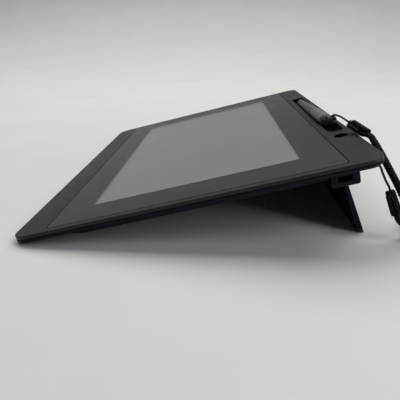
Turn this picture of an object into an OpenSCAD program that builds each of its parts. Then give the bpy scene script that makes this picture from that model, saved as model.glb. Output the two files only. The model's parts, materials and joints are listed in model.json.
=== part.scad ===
// Pen display: a slim slab with a glass-fronted screen, propped on a fold-out stand.
// A pen lies in a trough along the back edge, kept by a cord tether.
// The slab is drawn flat, with y = 0 at its front edge and z = 0 on its top face, then tilted.

/* [Slab] */
// Width of the slab
slab_w = 278; // [250:1:306]
// Depth of the slab from front edge to back edge
slab_d = 206; // [184:1:228]
// Plan radius of the slab's corners
corner_r = 9; // [6:0.5:12]
// Thickness of the front frame
frame_t = 2.1; // [2:0.1:2.5]
// Groove between the front frame and the rear cover
seam_gap = 0.3; // [0.2:0.05:0.5]
// Height of the rear cover's rim
rim_t = 2.2; // [2:0.1:2.8]
// Plastic wall of the rear cover
wall_t = 1.3; // [1.1:0.1:1.5]
// Depth of the belly under the top face
belly_depth = 10.2; // [10:0.1:11]
// Tilt of the slab on its stand, in degrees
tilt = 13.8; // [11:0.1:17]

/* [Screen] */
// Border from the slab's side to the lit area
border_side = 27.65; // [27:0.05:34]
// Border from the slab's front edge to the lit area
border_front = 41.8; // [41:0.1:50]
// Border from the lit area to the slab's back edge
border_back = 38.9; // [38:0.1:48]
// Frame strip in front of the glass
glass_front = 20.2; // [17:0.1:21]
// Frame band behind the glass
glass_back = 17.8; // [16.5:0.1:19]
// Frame strip beside the glass
glass_side = 4.3; // [3.5:0.1:6]
// Corner radius of the glass
glass_r = 3; // [1.5:0.1:5]
// Thickness of the cover glass
glass_t = 1.1; // [0.7:0.1:1.3]

/* [Hinge and stand] */
// Distance of the hinge housing's ends from the slab's sides
housing_inset = 8; // [6:0.5:12]
// Distance of the hinge housing's rear face from the slab's back edge
housing_rear = 13.4; // [13:0.1:15]
// Width of the hinge housing, front to rear
housing_w = 14.2; // [13.5:0.1:15]
// Depth of the hinge housing under the top face
housing_depth = 14; // [14:0.1:16]
// Length of each solid end of the hinge housing
housing_end = 16.4; // [15:0.1:22]
// Diameter of the hinge pins
hinge_pin_d = 2; // [1.6:0.1:2.2]
// Thickness of the stand at its hinge
stand_top_t = 2; // [1.6:0.1:2.2]
// Thickness of the stand at its foot
stand_foot_t = 3.4; // [2.4:0.1:3.8]
// Backward lean of the open stand from the slab's normal, in degrees
stand_lean = 8.7; // [6:0.1:12]
// Height of the rubber strip under the stand
stand_rubber_h = 2.5; // [1.5:0.1:4]

/* [Pen] */
// Length of the pen from its tip to its tail cap
pen_len = 108; // [106:0.5:112]
// Diameter of the pen at its tail
pen_d = 8.5; // [8.2:0.1:8.8]
// Diameter of the pen at its front
pen_front_d = 5.6; // [5:0.1:6.5]
// Diameter of the nib
nib_d = 1.5; // [1.2:0.1:1.6]
// Travel of the nib
nib_travel = 0.4; // [0.2:0.1:0.5]
// Diameter of the pen stand hole
stand_hole_d = 8.4; // [7.5:0.1:8.8]

/* [Tether] */
// Diameter of the braided cord
braid_d = 4.2; // [3.6:0.1:4.6]
// Diameter of the thin end cords
thin_d = 1.2; // [0.8:0.1:1.4]
// Width of the cord clips
clip_w = 5.8; // [5:0.1:6.2]
// Thickness of the cord clips
clip_t = 4.6; // [4:0.1:4.8]

/* [Hidden] */
$fn = 48;
eps = 0.02;

// Clearances between pieces
glass_gap = 0.15;
part_gap = 0.3;
run_gap = 0.05;
seat_gap = 0.02;
swing_gap = 0.6;

// Layers of the screen, from the top face downwards
tape_t = 0.2;
tape_w = 3;
ledge_w = 3.5;
panel_t = 1.4;
light_t = 1.9;
sensor_t = 0.7;
shield_t = 0.4;
standoff_t = 0.3;
board_t = 1;
tape_z = -glass_t - tape_t;
panel_z = tape_z - panel_t;
light_z = panel_z - light_t;
sensor_z = light_z - sensor_t;
shield_z = sensor_z - shield_t;
board_top_z = shield_z - standoff_t;
board_z = board_top_z - board_t;

// Plan of the screen's layers
glass_x = slab_w / 2 - glass_side;
glass_end = slab_d - glass_back;
lit_x = slab_w / 2 - border_side;
lit_front = border_front;
lit_back = slab_d - border_back;
panel_side = 3.5;
panel_front = 3;
panel_back = 5.2;
panel_x = lit_x + panel_side;
panel_y0 = lit_front - panel_front;
panel_y1 = lit_back + panel_back;
light_over = 0.8;
led_bar_d = 4;
sensor_over = 5.65;
sensor_x = lit_x + sensor_over;
sensor_y0 = lit_front - 2 * sensor_over;
sensor_y1 = panel_y1 + light_over;

// Case screws and the posts they bite into
post_r = 3;
post_gap = 0.5;
post_x = sensor_x + post_gap + post_r;
front_screw_in = 6;
rear_screw_in = 14.5;
front_screw_y = lit_front - front_screw_in;
rear_screw_y = panel_y1 - rear_screw_in;
case_screw_y = [front_screw_y, (front_screw_y + rear_screw_y) / 2, rear_screw_y];
screw_r = 1;
screw_head_r = 2.1;
screw_head_t = 0.7;
screw_sink = 0.8;
case_screw_len = 3.6;

// Rear cover levels and outline
rim_top_z = -frame_t - seam_gap;
rim_z = rim_top_z - rim_t;
rim_straight = 1;
rim_bevel = 1.6;
lip_in = 1.2;
lip_t = 1;
brim_z = rim_z + wall_t;
belly_z = -belly_depth;
belly_floor_z = belly_z + wall_t;
chassis_rim = 2;
chassis_x = post_x + post_r + chassis_rim;
belly_x = chassis_x + part_gap + wall_t;
belly_flank = 6.5;
belly_margin = 11.8;
belly_front = lit_front - belly_margin;
belly_front_flank = 12;
belly_corner_r = 8;
housing_y1 = slab_d - housing_rear;
housing_y0 = housing_y1 - housing_w;
housing_z = -housing_depth;
housing_x = slab_w / 2 - housing_inset;
chassis_over = 6;
chassis_y0 = belly_front - chassis_over;
chassis_y1 = housing_y0 - wall_t - part_gap;

// Hinge and stand
stand_x = housing_x - housing_end - part_gap;
slot_x = housing_x - housing_end;
knuckle_r = 2;
hinge_in = 4.1;
hinge_up = 1.8;
hinge_y = housing_y1 - hinge_in;
hinge_z = housing_z + hinge_up;
pin_r = hinge_pin_d / 2;
pin_in = 6;
pin_out = 6;
slot_z = hinge_z + knuckle_r + swing_gap;
knuckle_gap = 0.22;
slot_y = hinge_y + knuckle_r + knuckle_gap;
housing_wall = 1.3;
end_wall = 1.5;
end_over = 1;
inner_wall = 2.4;

// The ground, as a height in the tilted slab, and the stand's reach to it
front_clear = 0.4;
ground = rim_bevel * sin(tilt) + rim_z * cos(tilt) - front_clear;
stand_angle = stand_lean + tilt;
hinge_height = hinge_y * sin(tilt) + hinge_z * cos(tilt) - ground;
stand_len = hinge_height / cos(stand_angle);
stand_taper = (stand_foot_t - stand_top_t) / 2 / stand_len;

// Reach along the stand of its front face (-1) or rear face (1) at a height above the ground
function stand_reach(face, height) =
    (hinge_height + face * sin(stand_angle) * stand_top_t / 2 - height)
    / (cos(stand_angle) - face * sin(stand_angle) * stand_taper);
// Slab position of a point on one face of the stand
function stand_point(face, reach) =
    let (off = face * (stand_top_t / 2 + stand_taper * reach))
    [hinge_y + reach * sin(stand_lean) + off * cos(stand_lean),
     hinge_z - reach * cos(stand_lean) + off * sin(stand_lean)];
function ground_z(y) = (ground - y * sin(tilt)) / cos(tilt);
function row_y(p) = p[0] * cos(tilt) - p[1] * sin(tilt);

// The origin is under the middle of the object as it stands
rear_rim_y = row_y([slab_d, rim_top_z - rim_straight]);
rear_foot_y = row_y(stand_point(1, stand_reach(1, 0)));
shift_y = -max(rear_rim_y, rear_foot_y) / 2;
shift_z = -ground;

// Feet
foot_in = 14;
foot_len = 30;
foot_x0 = slab_w / 2 - foot_in - foot_len;
foot_y0 = 7;
foot_w = 8;
pad_t = 0.8;

// Port in the right end of the hinge housing
port_in = 7.6;
port_up = 4.35;
port_y = housing_y0 + port_in;
port_z = housing_z + port_up;
port_w = 7.4;
port_h = 2.5;
port_wall = 0.3;
port_set_back = 0.4;
port_len = 7;
port_board_t = 1;
port_board_z = port_z + port_h / 2;
port_board_x0 = slot_x + inner_wall + part_gap;
port_board_x1 = housing_x - end_wall - part_gap;
rail_w = 1.5;

// Main board, its connectors and its ribbons
board_w = 132;
board_d = 54.5;
board_in = 2.85;
board_x1 = panel_x - board_in;
board_x0 = board_x1 - board_w;
board_y1 = panel_y1;
board_y0 = board_y1 - board_d;
board_hole_in = 5;
board_screw_r = 0.8;
board_screw_head_r = 1.8;
board_screw_head_t = 0.8;
standoff_r = 2.4;
chip_t = 1.2;
ribbon_t = 0.25;
ribbon_w = 6;
ribbon_in = 2;
ribbon_up = 0.75;
ribbon_x = slot_x + inner_wall + ribbon_in;
ribbon_z = port_board_z + ribbon_up;
ribbon_slot = 0.4;
socket_in = 7;
socket_w = 5.5;
socket_edge = 1;
socket_y0 = board_y1 - socket_in;
flex_w = 30;
flex_board_in = 20;
flex_x0 = board_x0 + flex_board_in - flex_w / 2;
flex_t = 0.25;
flex_in = 1.5;
flex_drop = 0.9;
flex_y = chassis_y1 - flex_in;
flex_z = board_z - flex_drop;

// The pen, by distances from its tip, and the trough it lies in
front_s = 10;
barrel_len = 35;
cap_len = 3;
split_s = pen_len - barrel_len;
tail_s = pen_len - cap_len;
trough_in = 7.6;
trough_y = slab_d - trough_in;
trough_axis_z = 1.1;
trough_play = 0.85;
trough_r = pen_d / 2 + trough_play;
trough_wall = 0.9;
trough_end_in = 72.5;
tail_room = 24.5;
tip_room = 10.5;
trough_x1 = slab_w / 2 - trough_end_in;
pen_tip_x = trough_x1 - tail_room - pen_len;
trough_x0 = pen_tip_x - tip_room;
bevel_w = 3.2;
bevel_t = 1;

// Pen stand hole, and the pod under the back band
hole_end_in = 55.8;
hole_in = 8.4;
hole_x = slab_w / 2 - hole_end_in;
hole_y = slab_d - hole_in;
hole_depth = 6.4;
hole_wall = 0.7;
pod_over = 12.8;
pod_in = 1;
pod_x = hole_x + pod_over;
pod_y1 = slab_d - pod_in;
pod_z = -hole_depth - hole_wall - part_gap - wall_t;
pod_r = 2;

// The pen rests on the trough's floor at its front and where its barrel starts
front_rest_z = trough_axis_z - (trough_r - pen_front_d / 2 - part_gap);
split_rest_z = trough_axis_z - (trough_r - pen_d / 2 - part_gap);
pen_pitch = asin((split_rest_z - front_rest_z) / (split_s - front_s));
pen_tip_z = front_rest_z - front_s * sin(pen_pitch);
grip_s = 3.5;
grip_step = 0.2;
grip_end_d = pen_d - 2 * grip_step;
spigot_len = 6;
barrel_wall = 1.2;
nib_r = nib_d / 2;
nib_len = 34;
nib_bore_s = 16;
cavity_r = 2.3;
coil_s = 20;
coil_len = 12;
coil_r = 2;
nib_clear = 0.1;
pen_board_gap = 0.2;
pen_board_t = 1;
pen_board_s = nib_len + nib_travel + pen_board_gap;
pen_board_len = split_s - spigot_len - pen_board_t - pen_board_s;
chip_s = 6;
chip_len = 8;
chip_w = 2;
chip_h = 2.4;
lug_len = 4.5;
lug_w = 4.4;
lug_t = 2.2;
lug_hole_r = 0.9;

// Tether, placed from the back edge above the anchor, in the frame of the standing object
anchor_end_in = 35;
anchor_in = 8.5;
anchor_x = slab_w / 2 - anchor_end_in;
anchor_y = slab_d - anchor_in;
anchor_drop = 2.2;
anchor_r = 0.7;
anchor_span = 5;
rim_edge_z = rim_top_z - rim_straight;
back_edge = [anchor_x, rear_rim_y + shift_y, slab_d * sin(tilt) + rim_edge_z * cos(tilt) + shift_z];
lead = 3;
joint_gap = 0.05;
function unit(v) = v / norm(v);
function from_edge(points) = [for (p = points) back_edge + p];
function on_table(points) = [for (p = points)
    [back_edge[0] + p[0], back_edge[1] + p[1], braid_d / 2 + p[2]]];
// Points straight out of a clip, or straight into it
function out_of(clip_end, far_end) =
    [for (d = [joint_gap, lead / 2, lead]) clip_end - d * unit(far_end - clip_end)];
function into(clip_end, far_end) =
    [for (d = [lead, lead / 2, joint_gap]) clip_end - d * unit(far_end - clip_end)];
clip_a = back_edge + [-24, -3.2, 8.4];
clip_b = back_edge + [-9, 2.4, 5];
clip_c = back_edge + [21, 8.5, -19.4];
clip_d = back_edge + [21, 14.1, -32.9];
pen_loop_route = concat(
    from_edge([[-56.6, -7.8, 3.2], [-55.4, -6.6, 4.8], [-53.2, -5.9, 6.7], [-50, -5.5, 7.9],
        [-45, -5.4, 8.9], [-39.5, -5.6, 9.6], [-33.5, -5.4, 9.7]]),
    into(clip_a, clip_b));
braid_route = concat(
    out_of(clip_b, clip_a),
    from_edge([[-2.2, 4.7, 2], [4, 6.6, -2.2], [10.5, 8.6, -6.8], [15.5, 10.5, -11.2],
        [19, 12.3, -15.7], [22, 15.2, -22.4], [24, 19.8, -30.5]]),
    on_table([[25.4, 25.6, 10], [26.2, 32.6, 3.8], [25.8, 39.8, 0.7], [23, 47.3, 0.1],
        [17.5, 53.8, 0.1], [9.5, 57.3, 0.1], [1.5, 56.3, 0.1], [-4.5, 51.8, 0.1], [-7, 44.8, 0.1],
        [-5.5, 37.8, 0.1], [-1, 31.8, 0.3], [5.5, 27.8, 1.1], [12, 24.8, 3.2], [17.8, 21.1, 6.8]]),
    into(clip_d, clip_c));
anchor_route = concat(
    from_edge([[0, -7.2, -6.8], [4, -5.6, -7.2], [9, -3.2, -6.5], [13.5, -0.4, -5.9],
        [17.5, 2.3, -6.7], [19, 3.2, -9], [20.4, 4.9, -12.9]]),
    into(clip_c, clip_d));

// Colours
case_black = [0.13, 0.13, 0.15];
frame_grey = [0.26, 0.27, 0.27];
rubber_black = [0.07, 0.07, 0.08];
steel = [0.7, 0.71, 0.73];
board_green = [0.08, 0.3, 0.2];

// Places a child drawn in the slab's own frame
module in_slab() {
    translate([0, shift_y, shift_z]) rotate([tilt, 0, 0]) children();
}

// Places a child drawn along the pen's axis, tip at the origin and tail towards +z
module on_pen() {
    in_slab() translate([pen_tip_x, trough_y, pen_tip_z]) rotate([0, 90 - pen_pitch, 0]) children();
}

// Flat outline with round corners
module rounded(x0, y0, x1, y1, r) {
    translate([x0 + r, y0]) square([x1 - x0 - 2 * r, y1 - y0]);
    translate([x0, y0 + r]) square([x1 - x0, y1 - y0 - 2 * r]);
    for (x = [x0 + r, x1 - r], y = [y0 + r, y1 - r]) translate([x, y]) circle(r);
}

// The slab's outline, drawn in by a margin
module outline(margin) {
    rounded(margin - slab_w / 2, margin, slab_w / 2 - margin, slab_d - margin, corner_r - margin);
}

// A layer of a flat outline between two heights
module layer(z0, z1) {
    translate([0, 0, z0]) linear_extrude(z1 - z0) children();
}

// A box between two corners
module box(low, high) {
    translate(low) cube(high - low);
}

// A profile in y and z, drawn out between two x positions
module profile_x(x0, x1, points) {
    translate([x0, 0, 0]) rotate([90, 0, 90]) linear_extrude(x1 - x0) polygon(points);
}

// A round bar along x
module bar_x(x0, x1, y, z, r) {
    translate([x0, y, z]) rotate([0, 90, 0]) cylinder(r = r, h = x1 - x0);
}

// A round tube along a route
module tube(route, r, sides) {
    count = len(route);
    dirs = [for (i = [0:count - 1]) unit(route[min(i + 1, count - 1)] - route[max(i - 1, 0)])];
    first = unit(cross(dirs[0], [0.3, 0.2, 1]));
    rests = carried(dirs, first, 0);
    points = [for (i = [0:count - 1], k = [0:sides - 1])
        route[i] + r * (cos(k * 360 / sides) * rests[i] + sin(k * 360 / sides) * cross(dirs[i], rests[i]))];
    skin = [for (i = [0:count - 2], k = [0:sides - 1])
        let (n = (k + 1) % sides, a = i * sides, b = a + sides)
        each [[a + k, b + k, b + n], [a + k, b + n, a + n]]];
    start = [[for (k = [0:sides - 1]) k]];
    end = [[for (k = [sides - 1:-1:0]) (count - 1) * sides + k]];
    polyhedron(points, concat(skin, start, end));
}

// Side directions carried along a route without twist
function carried(dirs, side, i) =
    i == len(dirs) ? []
    : let (now = unit(side - (side * dirs[i]) * dirs[i])) concat([now], carried(dirs, now, i + 1));

// Extra points that round a route off, each bend passing through the points chosen for it
function smooth(p) = [for (i = [0:len(p) - 2], t = i < len(p) - 2 ? [0, 0.5] : [0, 0.5, 1])
    let (a = p[max(i - 1, 0)], b = p[i], c = p[i + 1], d = p[min(i + 2, len(p) - 1)])
    0.5 * (2 * b + (c - a) * t + (2 * a - 5 * b + 4 * c - d) * t * t
        + (3 * b - a - 3 * c + d) * t * t * t)];

// Pen trough: a round channel along x with a round near end
module trough(grow) {
    bar_x(trough_x0 - grow, trough_x1, trough_y, trough_axis_z, trough_r + grow);
    translate([trough_x1, trough_y, trough_axis_z]) sphere(r = trough_r + grow);
}

module front_frame() {
    color(frame_grey) in_slab() difference() {
        union() {
            layer(-frame_t, 0) outline(0);
            intersection() {
                trough(trough_wall);
                box([-slab_w / 2, 0, -frame_t - trough_r], [slab_w / 2, slab_d - rim_bevel, -frame_t / 2]);
            }
            translate([hole_x, hole_y, -hole_depth - hole_wall])
                cylinder(r = stand_hole_d / 2 + hole_wall, h = hole_depth);
        }
        layer(tape_z, eps) glass_outline(-glass_gap);
        layer(-frame_t - eps, eps) glass_outline(ledge_w);
        trough(0);
        profile_x(trough_x0 + trough_r, trough_x1, [
            [trough_y - trough_r - bevel_w, 0],
            [trough_y - trough_r + bevel_t / 2, -bevel_t],
            [trough_y - trough_r + bevel_t / 2, eps],
            [trough_y - trough_r - bevel_w, eps]]);
        translate([hole_x, hole_y, -hole_depth]) cylinder(r = stand_hole_d / 2, h = hole_depth + eps);
    }
}

// The glass's outline, drawn in by a margin
module glass_outline(margin) {
    rounded(margin - glass_x, glass_front + margin, glass_x - margin, glass_end - margin,
        max(glass_r - margin, 0.5));
}

module cover_glass() {
    color([0.45, 0.5, 0.48]) in_slab() layer(-glass_t, 0) glass_outline(0);
}

module glass_tape() {
    color("black") in_slab() layer(tape_z, -glass_t) difference() {
        glass_outline(part_gap);
        glass_outline(part_gap + tape_w);
    }
}

module display_panel() {
    color([0.5, 0.54, 0.52]) in_slab() box([-panel_x, panel_y0, panel_z], [panel_x, panel_y1, tape_z]);
}

module backlight() {
    color("white") in_slab() {
        box([-panel_x - light_over, panel_y0 - light_over, light_z],
            [panel_x + light_over, panel_y1 + light_over, panel_z]);
        box([-panel_x - light_over, panel_y0 - light_over - led_bar_d, light_z],
            [panel_x + light_over, panel_y0 - light_over, panel_z]);
    }
}

module chassis() {
    led_bar_room = led_bar_d + part_gap;
    side = light_over + part_gap;
    color([0.55, 0.56, 0.58]) in_slab() difference() {
        union() {
            layer(light_z, tape_z) rounded(-chassis_x, chassis_y0, chassis_x, chassis_y1, 2);
            for (x = [-post_x, post_x], y = case_screw_y)
                translate([x, y, belly_floor_z]) cylinder(r = post_r, h = light_z - belly_floor_z + eps);
        }
        box([-panel_x - side, panel_y0 - side - led_bar_room, light_z - eps],
            [panel_x + side, panel_y1 + side, eps]);
        box([flex_x0 - part_gap, panel_y1, light_z - eps],
            [flex_x0 + flex_w + part_gap, chassis_y1 + eps, eps]);
        for (x = [-post_x, post_x], y = case_screw_y)
            translate([x, y, belly_floor_z - eps]) cylinder(r = screw_r + run_gap, h = case_screw_len);
    }
}

module sensor_board() {
    connector_w = 24;
    color(board_green) in_slab() {
        box([-sensor_x, sensor_y0, sensor_z], [sensor_x, sensor_y1, light_z]);
        box([-sensor_x + 6, sensor_y0 - 3, sensor_z], [-sensor_x + 6 + connector_w, sensor_y0, light_z]);
    }
}

// Positions of the main board's four screws
board_holes = [for (x = [board_x0 + board_hole_in, board_x1 - board_hole_in],
    y = [board_y0 + board_hole_in, board_y1 - 2 * board_hole_in]) [x, y]];

module shield_plate() {
    color(steel) in_slab() difference() {
        union() {
            box([-sensor_x, sensor_y0, shield_z], [sensor_x, sensor_y1, sensor_z]);
            for (p = board_holes)
                translate([p[0], p[1], board_top_z])
                    cylinder(r = standoff_r, h = standoff_t + shield_t / 2);
        }
        for (p = board_holes)
            translate([p[0], p[1], board_top_z - eps])
                cylinder(r = board_screw_r + run_gap, h = sensor_z - board_top_z + eps);
    }
}

module main_board() {
    // Place and size of each component, as shares of the board's width and depth
    chips = [[0.05, 0.29, 0.11, 0.26], [0.26, 0.37, 0.08, 0.18], [0.42, 0.26, 0.14, 0.15],
        [0.64, 0.33, 0.07, 0.22], [0.15, 0.73, 0.2, 0.11]];
    color(board_green) in_slab() {
        difference() {
            box([board_x0, board_y0, board_z], [board_x1, board_y1, board_top_z]);
            for (p = board_holes)
                translate([p[0], p[1], board_z - eps])
                    cylinder(r = board_screw_r + glass_gap, h = 2 * board_t);
        }
        for (c = chips)
            translate([board_x0 + c[0] * board_w, board_y0 + c[1] * board_d, board_z - chip_t])
                cube([c[2] * board_w, c[3] * board_d, chip_t]);
        box([flex_x0, socket_y0, board_z - chip_t], [flex_x0 + flex_w, socket_y0 + socket_w, board_z]);
        box([board_x1 - socket_w, board_y1 - ribbon_w - socket_edge, board_z - chip_t],
            [board_x1, board_y1 - socket_edge, board_z]);
    }
}

module board_screws() {
    color(steel) in_slab() for (p = board_holes) translate([p[0], p[1], 0]) {
        translate([0, 0, board_z - board_screw_head_t])
            cylinder(r = board_screw_head_r, h = board_screw_head_t);
        translate([0, 0, board_z - eps]) cylinder(r = board_screw_r, h = sensor_z - board_z - run_gap);
    }
}

module display_flex() {
    top = tape_z - 0.5;
    color([0.75, 0.45, 0.1]) in_slab() profile_x(flex_x0, flex_x0 + flex_w, [
        [panel_y1, top], [flex_y, top], [flex_y, flex_z], [socket_y0 + socket_w, flex_z],
        [socket_y0 + socket_w, flex_z + flex_t], [flex_y - flex_t, flex_z + flex_t],
        [flex_y - flex_t, top - flex_t], [panel_y1, top - flex_t]]);
}

module port_ribbon() {
    y0 = board_y1 - ribbon_w - socket_edge;
    color("white") in_slab() {
        box([ribbon_x, y0, ribbon_z],
            [ribbon_x + ribbon_w, housing_y0 + housing_wall + part_gap, ribbon_z + ribbon_t]);
        box([board_x1, y0, ribbon_z], [ribbon_x, y0 + ribbon_w, ribbon_z + ribbon_t]);
    }
}

module port_board() {
    y0 = housing_y0 + housing_wall + part_gap;
    y1 = housing_y1 - housing_wall - part_gap;
    color(board_green) in_slab()
        box([port_board_x0, y0, port_board_z], [port_board_x1, y1, port_board_z + port_board_t]);
}

module usb_socket() {
    x1 = housing_x - port_set_back;
    x0 = x1 - port_len;
    half = port_w / 2;
    color(steel) in_slab() {
        difference() {
            box([x0, port_y - half, port_z - port_h / 2], [x1, port_y + half, port_z + port_h / 2]);
            box([x0 + port_wall, port_y - half + port_wall, port_z - port_h / 2 + port_wall],
                [x1 + eps, port_y + half - port_wall, port_z + port_h / 2 - port_wall]);
        }
        box([x0 + eps, port_y - half / 2, port_z - port_h / 8],
            [x1 - 1, port_y + half / 2, port_z + port_h / 8]);
    }
}

// The belly's outer form, or its hollow when drawn in by a wall
module belly(inset, top, bottom) {
    rear = housing_y0 - inset;
    r = belly_corner_r;
    hull() for (step = [[belly_flank, belly_front_flank, top], [0, 0, bottom]]) {
        x = belly_x + step[0] - inset;
        y = belly_front - step[1] + inset;
        translate([0, 0, step[2]]) {
            for (side = [-1, 1]) translate([side * (x - r), y + r, 0]) cylinder(r = r, h = eps, $fn = 32);
            translate([-x, rear - 1, 0]) cube([2 * x, 1, eps]);
        }
    }
}

module rear_cover() {
    color(case_black) in_slab() difference() {
        union() {
            layer(rim_top_z - rim_straight, rim_top_z) outline(0);
            layer(rim_z, -frame_t) outline(lip_in);
            hull() {
                layer(rim_top_z - rim_straight - eps, rim_top_z - rim_straight) outline(0);
                layer(rim_z, rim_z + eps) outline(rim_bevel);
            }
            belly(0, rim_z, belly_z);
            layer(pod_z, rim_z + eps) rounded(-pod_x, housing_y1, pod_x, pod_y1, pod_r);
        }
        layer(brim_z, 0) outline(lip_in + lip_t);
        belly(wall_t, brim_z, belly_floor_z);
        layer(pod_z + wall_t, 0)
            rounded(wall_t - pod_x, housing_y1 + seat_gap, pod_x - wall_t, pod_y1 - wall_t, pod_r / 2);
        for (x = [-post_x, post_x], y = case_screw_y) translate([x, y, belly_z - eps]) {
            cylinder(r = screw_r + part_gap, h = 3);
            cylinder(r = screw_head_r + part_gap, h = screw_sink + eps);
        }
        for (x = housing_screw_x) translate([x, housing_screw_y, rim_z - eps])
            cylinder(r = screw_r + part_gap, h = 3);
        box([ribbon_x - ribbon_slot, housing_y0 - 2 * wall_t, ribbon_z - ribbon_slot],
            [ribbon_x + ribbon_w + ribbon_slot, housing_y0 + eps, ribbon_z + ribbon_t + ribbon_slot]);
        anchor_legs(anchor_r + run_gap);
    }
}

module case_screws() {
    head_z = belly_z + screw_sink;
    color(steel) in_slab() for (x = [-post_x, post_x], y = case_screw_y) translate([x, y, 0]) {
        translate([0, 0, head_z - screw_head_t]) cylinder(r = screw_head_r, h = screw_head_t);
        translate([0, 0, head_z - screw_head_t / 2]) cylinder(r = screw_r, h = case_screw_len);
    }
}

// Screws that hold the hinge housing to the rear cover
housing_screw_in = 14.6;
housing_screw_x = [for (share = [-1, -0.4, 0.4, 1]) share * (slot_x - housing_screw_in)];
housing_screw_y = housing_y0 + housing_w / 2 - 1;
housing_screw_len = 4;

module hinge_housing() {
    top = rim_z;
    color(case_black) in_slab() difference() {
        union() {
            difference() {
                union() {
                    housing_form(-housing_x, housing_x, housing_y0, housing_y1, housing_z, rim_z);
                    for (x = [-housing_x, slot_x])
                        housing_form(x, x + housing_end, housing_y0 + housing_w / 2, housing_y1 + end_over,
                            housing_z, rim_z);
                }
                housing_form(end_wall - housing_x, housing_x - end_wall, housing_y0 + housing_wall,
                    housing_y1 - housing_wall, housing_z + housing_wall, rim_z + eps);
            }
            box([-slot_x - inner_wall, housing_y0 + eps, slot_z],
                [slot_x + inner_wall, housing_y1 - eps, slot_z + housing_wall]);
            box([-slot_x, slot_y, housing_z + eps], [slot_x, housing_y1 - eps, slot_z + eps]);
            for (side = [-1, 1]) {
                end_box(side, slot_x, slot_x + inner_wall);
                end_bar(side, slot_x, slot_x + pin_out, hinge_z - housing_z);
            }
            for (x = housing_screw_x) translate([x, housing_screw_y, slot_z])
                cylinder(r = post_r, h = top - slot_z);
            for (y = [housing_y0 + eps, housing_y1 - housing_wall - rail_w])
                box([port_board_x0, y, housing_z + eps],
                    [port_board_x1, y + housing_wall + rail_w - eps, port_board_z]);
        }
        box([-slot_x, housing_y0 - eps, housing_z - eps], [slot_x, slot_y, slot_z]);
        for (side = [-1, 1])
            end_bar(side, slot_x - 1, slot_x + pin_out - 1, pin_r + seat_gap);
        for (x = housing_screw_x) translate([x, housing_screw_y, top - housing_screw_len])
            cylinder(r = screw_r + run_gap, h = housing_screw_len + eps);
        box([housing_x - 3 * end_wall, port_y - port_w / 2 - glass_gap, port_z - port_h / 2 - glass_gap],
            [housing_x + eps, port_y + port_w / 2 + glass_gap, port_z + port_h / 2 + glass_gap]);
        box([ribbon_x - ribbon_slot, housing_y0 - eps, ribbon_z - ribbon_slot],
            [ribbon_x + ribbon_w + ribbon_slot, housing_y0 + 2 * housing_wall,
             ribbon_z + ribbon_t + ribbon_slot]);
    }
}

// A length of the hinge housing's box, with rounded lower edges
module housing_form(x0, x1, y0, y1, bottom, top) {
    r = 1.5;
    translate([x0, 0, 0]) rotate([90, 0, 90]) linear_extrude(x1 - x0) {
        translate([y0, bottom + r]) square([y1 - y0, top - bottom - r]);
        translate([y0 + r, bottom]) square([y1 - y0 - 2 * r, 2 * r]);
        for (y = [y0 + r, y1 - r]) translate([y, bottom + r]) circle(r);
    }
}

// A round bar on the hinge's axis at one end, given by its distances from the middle
module end_bar(side, x0, x1, r) {
    bar_x(side > 0 ? x0 : -x1, side > 0 ? x1 : -x0, hinge_y, hinge_z, r);
}

// A wall across the hinge housing at one end, given by its distances from the middle
module end_box(side, x0, x1) {
    box([side > 0 ? x0 : -x1, housing_y0 + eps, housing_z + eps],
        [side > 0 ? x1 : -x0, housing_y1 - eps, rim_z - eps]);
}

module housing_screws() {
    color(steel) in_slab() for (x = housing_screw_x) translate([x, housing_screw_y, 0]) {
        translate([0, 0, brim_z]) cylinder(r = screw_head_r, h = screw_head_t);
        translate([0, 0, rim_z - housing_screw_len + part_gap])
            cylinder(r = screw_r, h = brim_z - rim_z + housing_screw_len);
    }
}

module hinge_pins() {
    color(steel) in_slab() {
        for (side = [-1, 1]) end_bar(side, slot_x - pin_in, slot_x + pin_out - 1 - part_gap, pin_r);
    }
}

module stand() {
    front = stand_reach(-1, stand_rubber_h);
    rear = stand_reach(1, stand_rubber_h);
    color(case_black) in_slab() difference() {
        union() {
            profile_x(-stand_x, stand_x, [stand_point(-1, 0), stand_point(-1, front),
                stand_point(1, rear), stand_point(1, 0)]);
            bar_x(-stand_x, stand_x, hinge_y, hinge_z, knuckle_r);
        }
        for (x = [-stand_x - eps, stand_x - pin_in])
            bar_x(x, x + pin_in + eps, hinge_y, hinge_z, pin_r + run_gap);
    }
}

module stand_foot() {
    color(rubber_black) in_slab() profile_x(-stand_x + part_gap, stand_x - part_gap, [
        for (p = [[-1, stand_rubber_h], [1, stand_rubber_h], [1, 0], [-1, 0]])
            stand_point(p[0], stand_reach(p[0], p[1]))]);
}

module front_feet() {
    y1 = foot_y0 + foot_w;
    color(rubber_black) in_slab() for (x = [-foot_x0 - foot_len, foot_x0])
        profile_x(x, x + foot_len, [[foot_y0, rim_z], [y1, rim_z], [y1, ground_z(y1)],
            [foot_y0, ground_z(foot_y0)]]);
}

module housing_feet() {
    margin = 3;
    color(rubber_black) in_slab() for (x = [-housing_x + margin, slot_x + margin])
        layer(housing_z - pad_t, housing_z)
            rounded(x, housing_y0 + margin, x + housing_end - 2 * margin, housing_y1 - margin, 1.5);
}

// The two legs of the tether's anchor
module anchor_legs(r) {
    for (y = [anchor_y - anchor_span / 2, anchor_y + anchor_span / 2])
        translate([anchor_x, y, rim_z - anchor_drop]) cylinder(r = r, h = anchor_drop + wall_t);
}

module tether_anchor() {
    color(steel) in_slab() {
        anchor_legs(anchor_r);
        translate([anchor_x, anchor_y - anchor_span / 2 - anchor_r, rim_z - anchor_drop])
            rotate([-90, 0, 0]) cylinder(r = anchor_r, h = anchor_span + 2 * anchor_r);
    }
}

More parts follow.
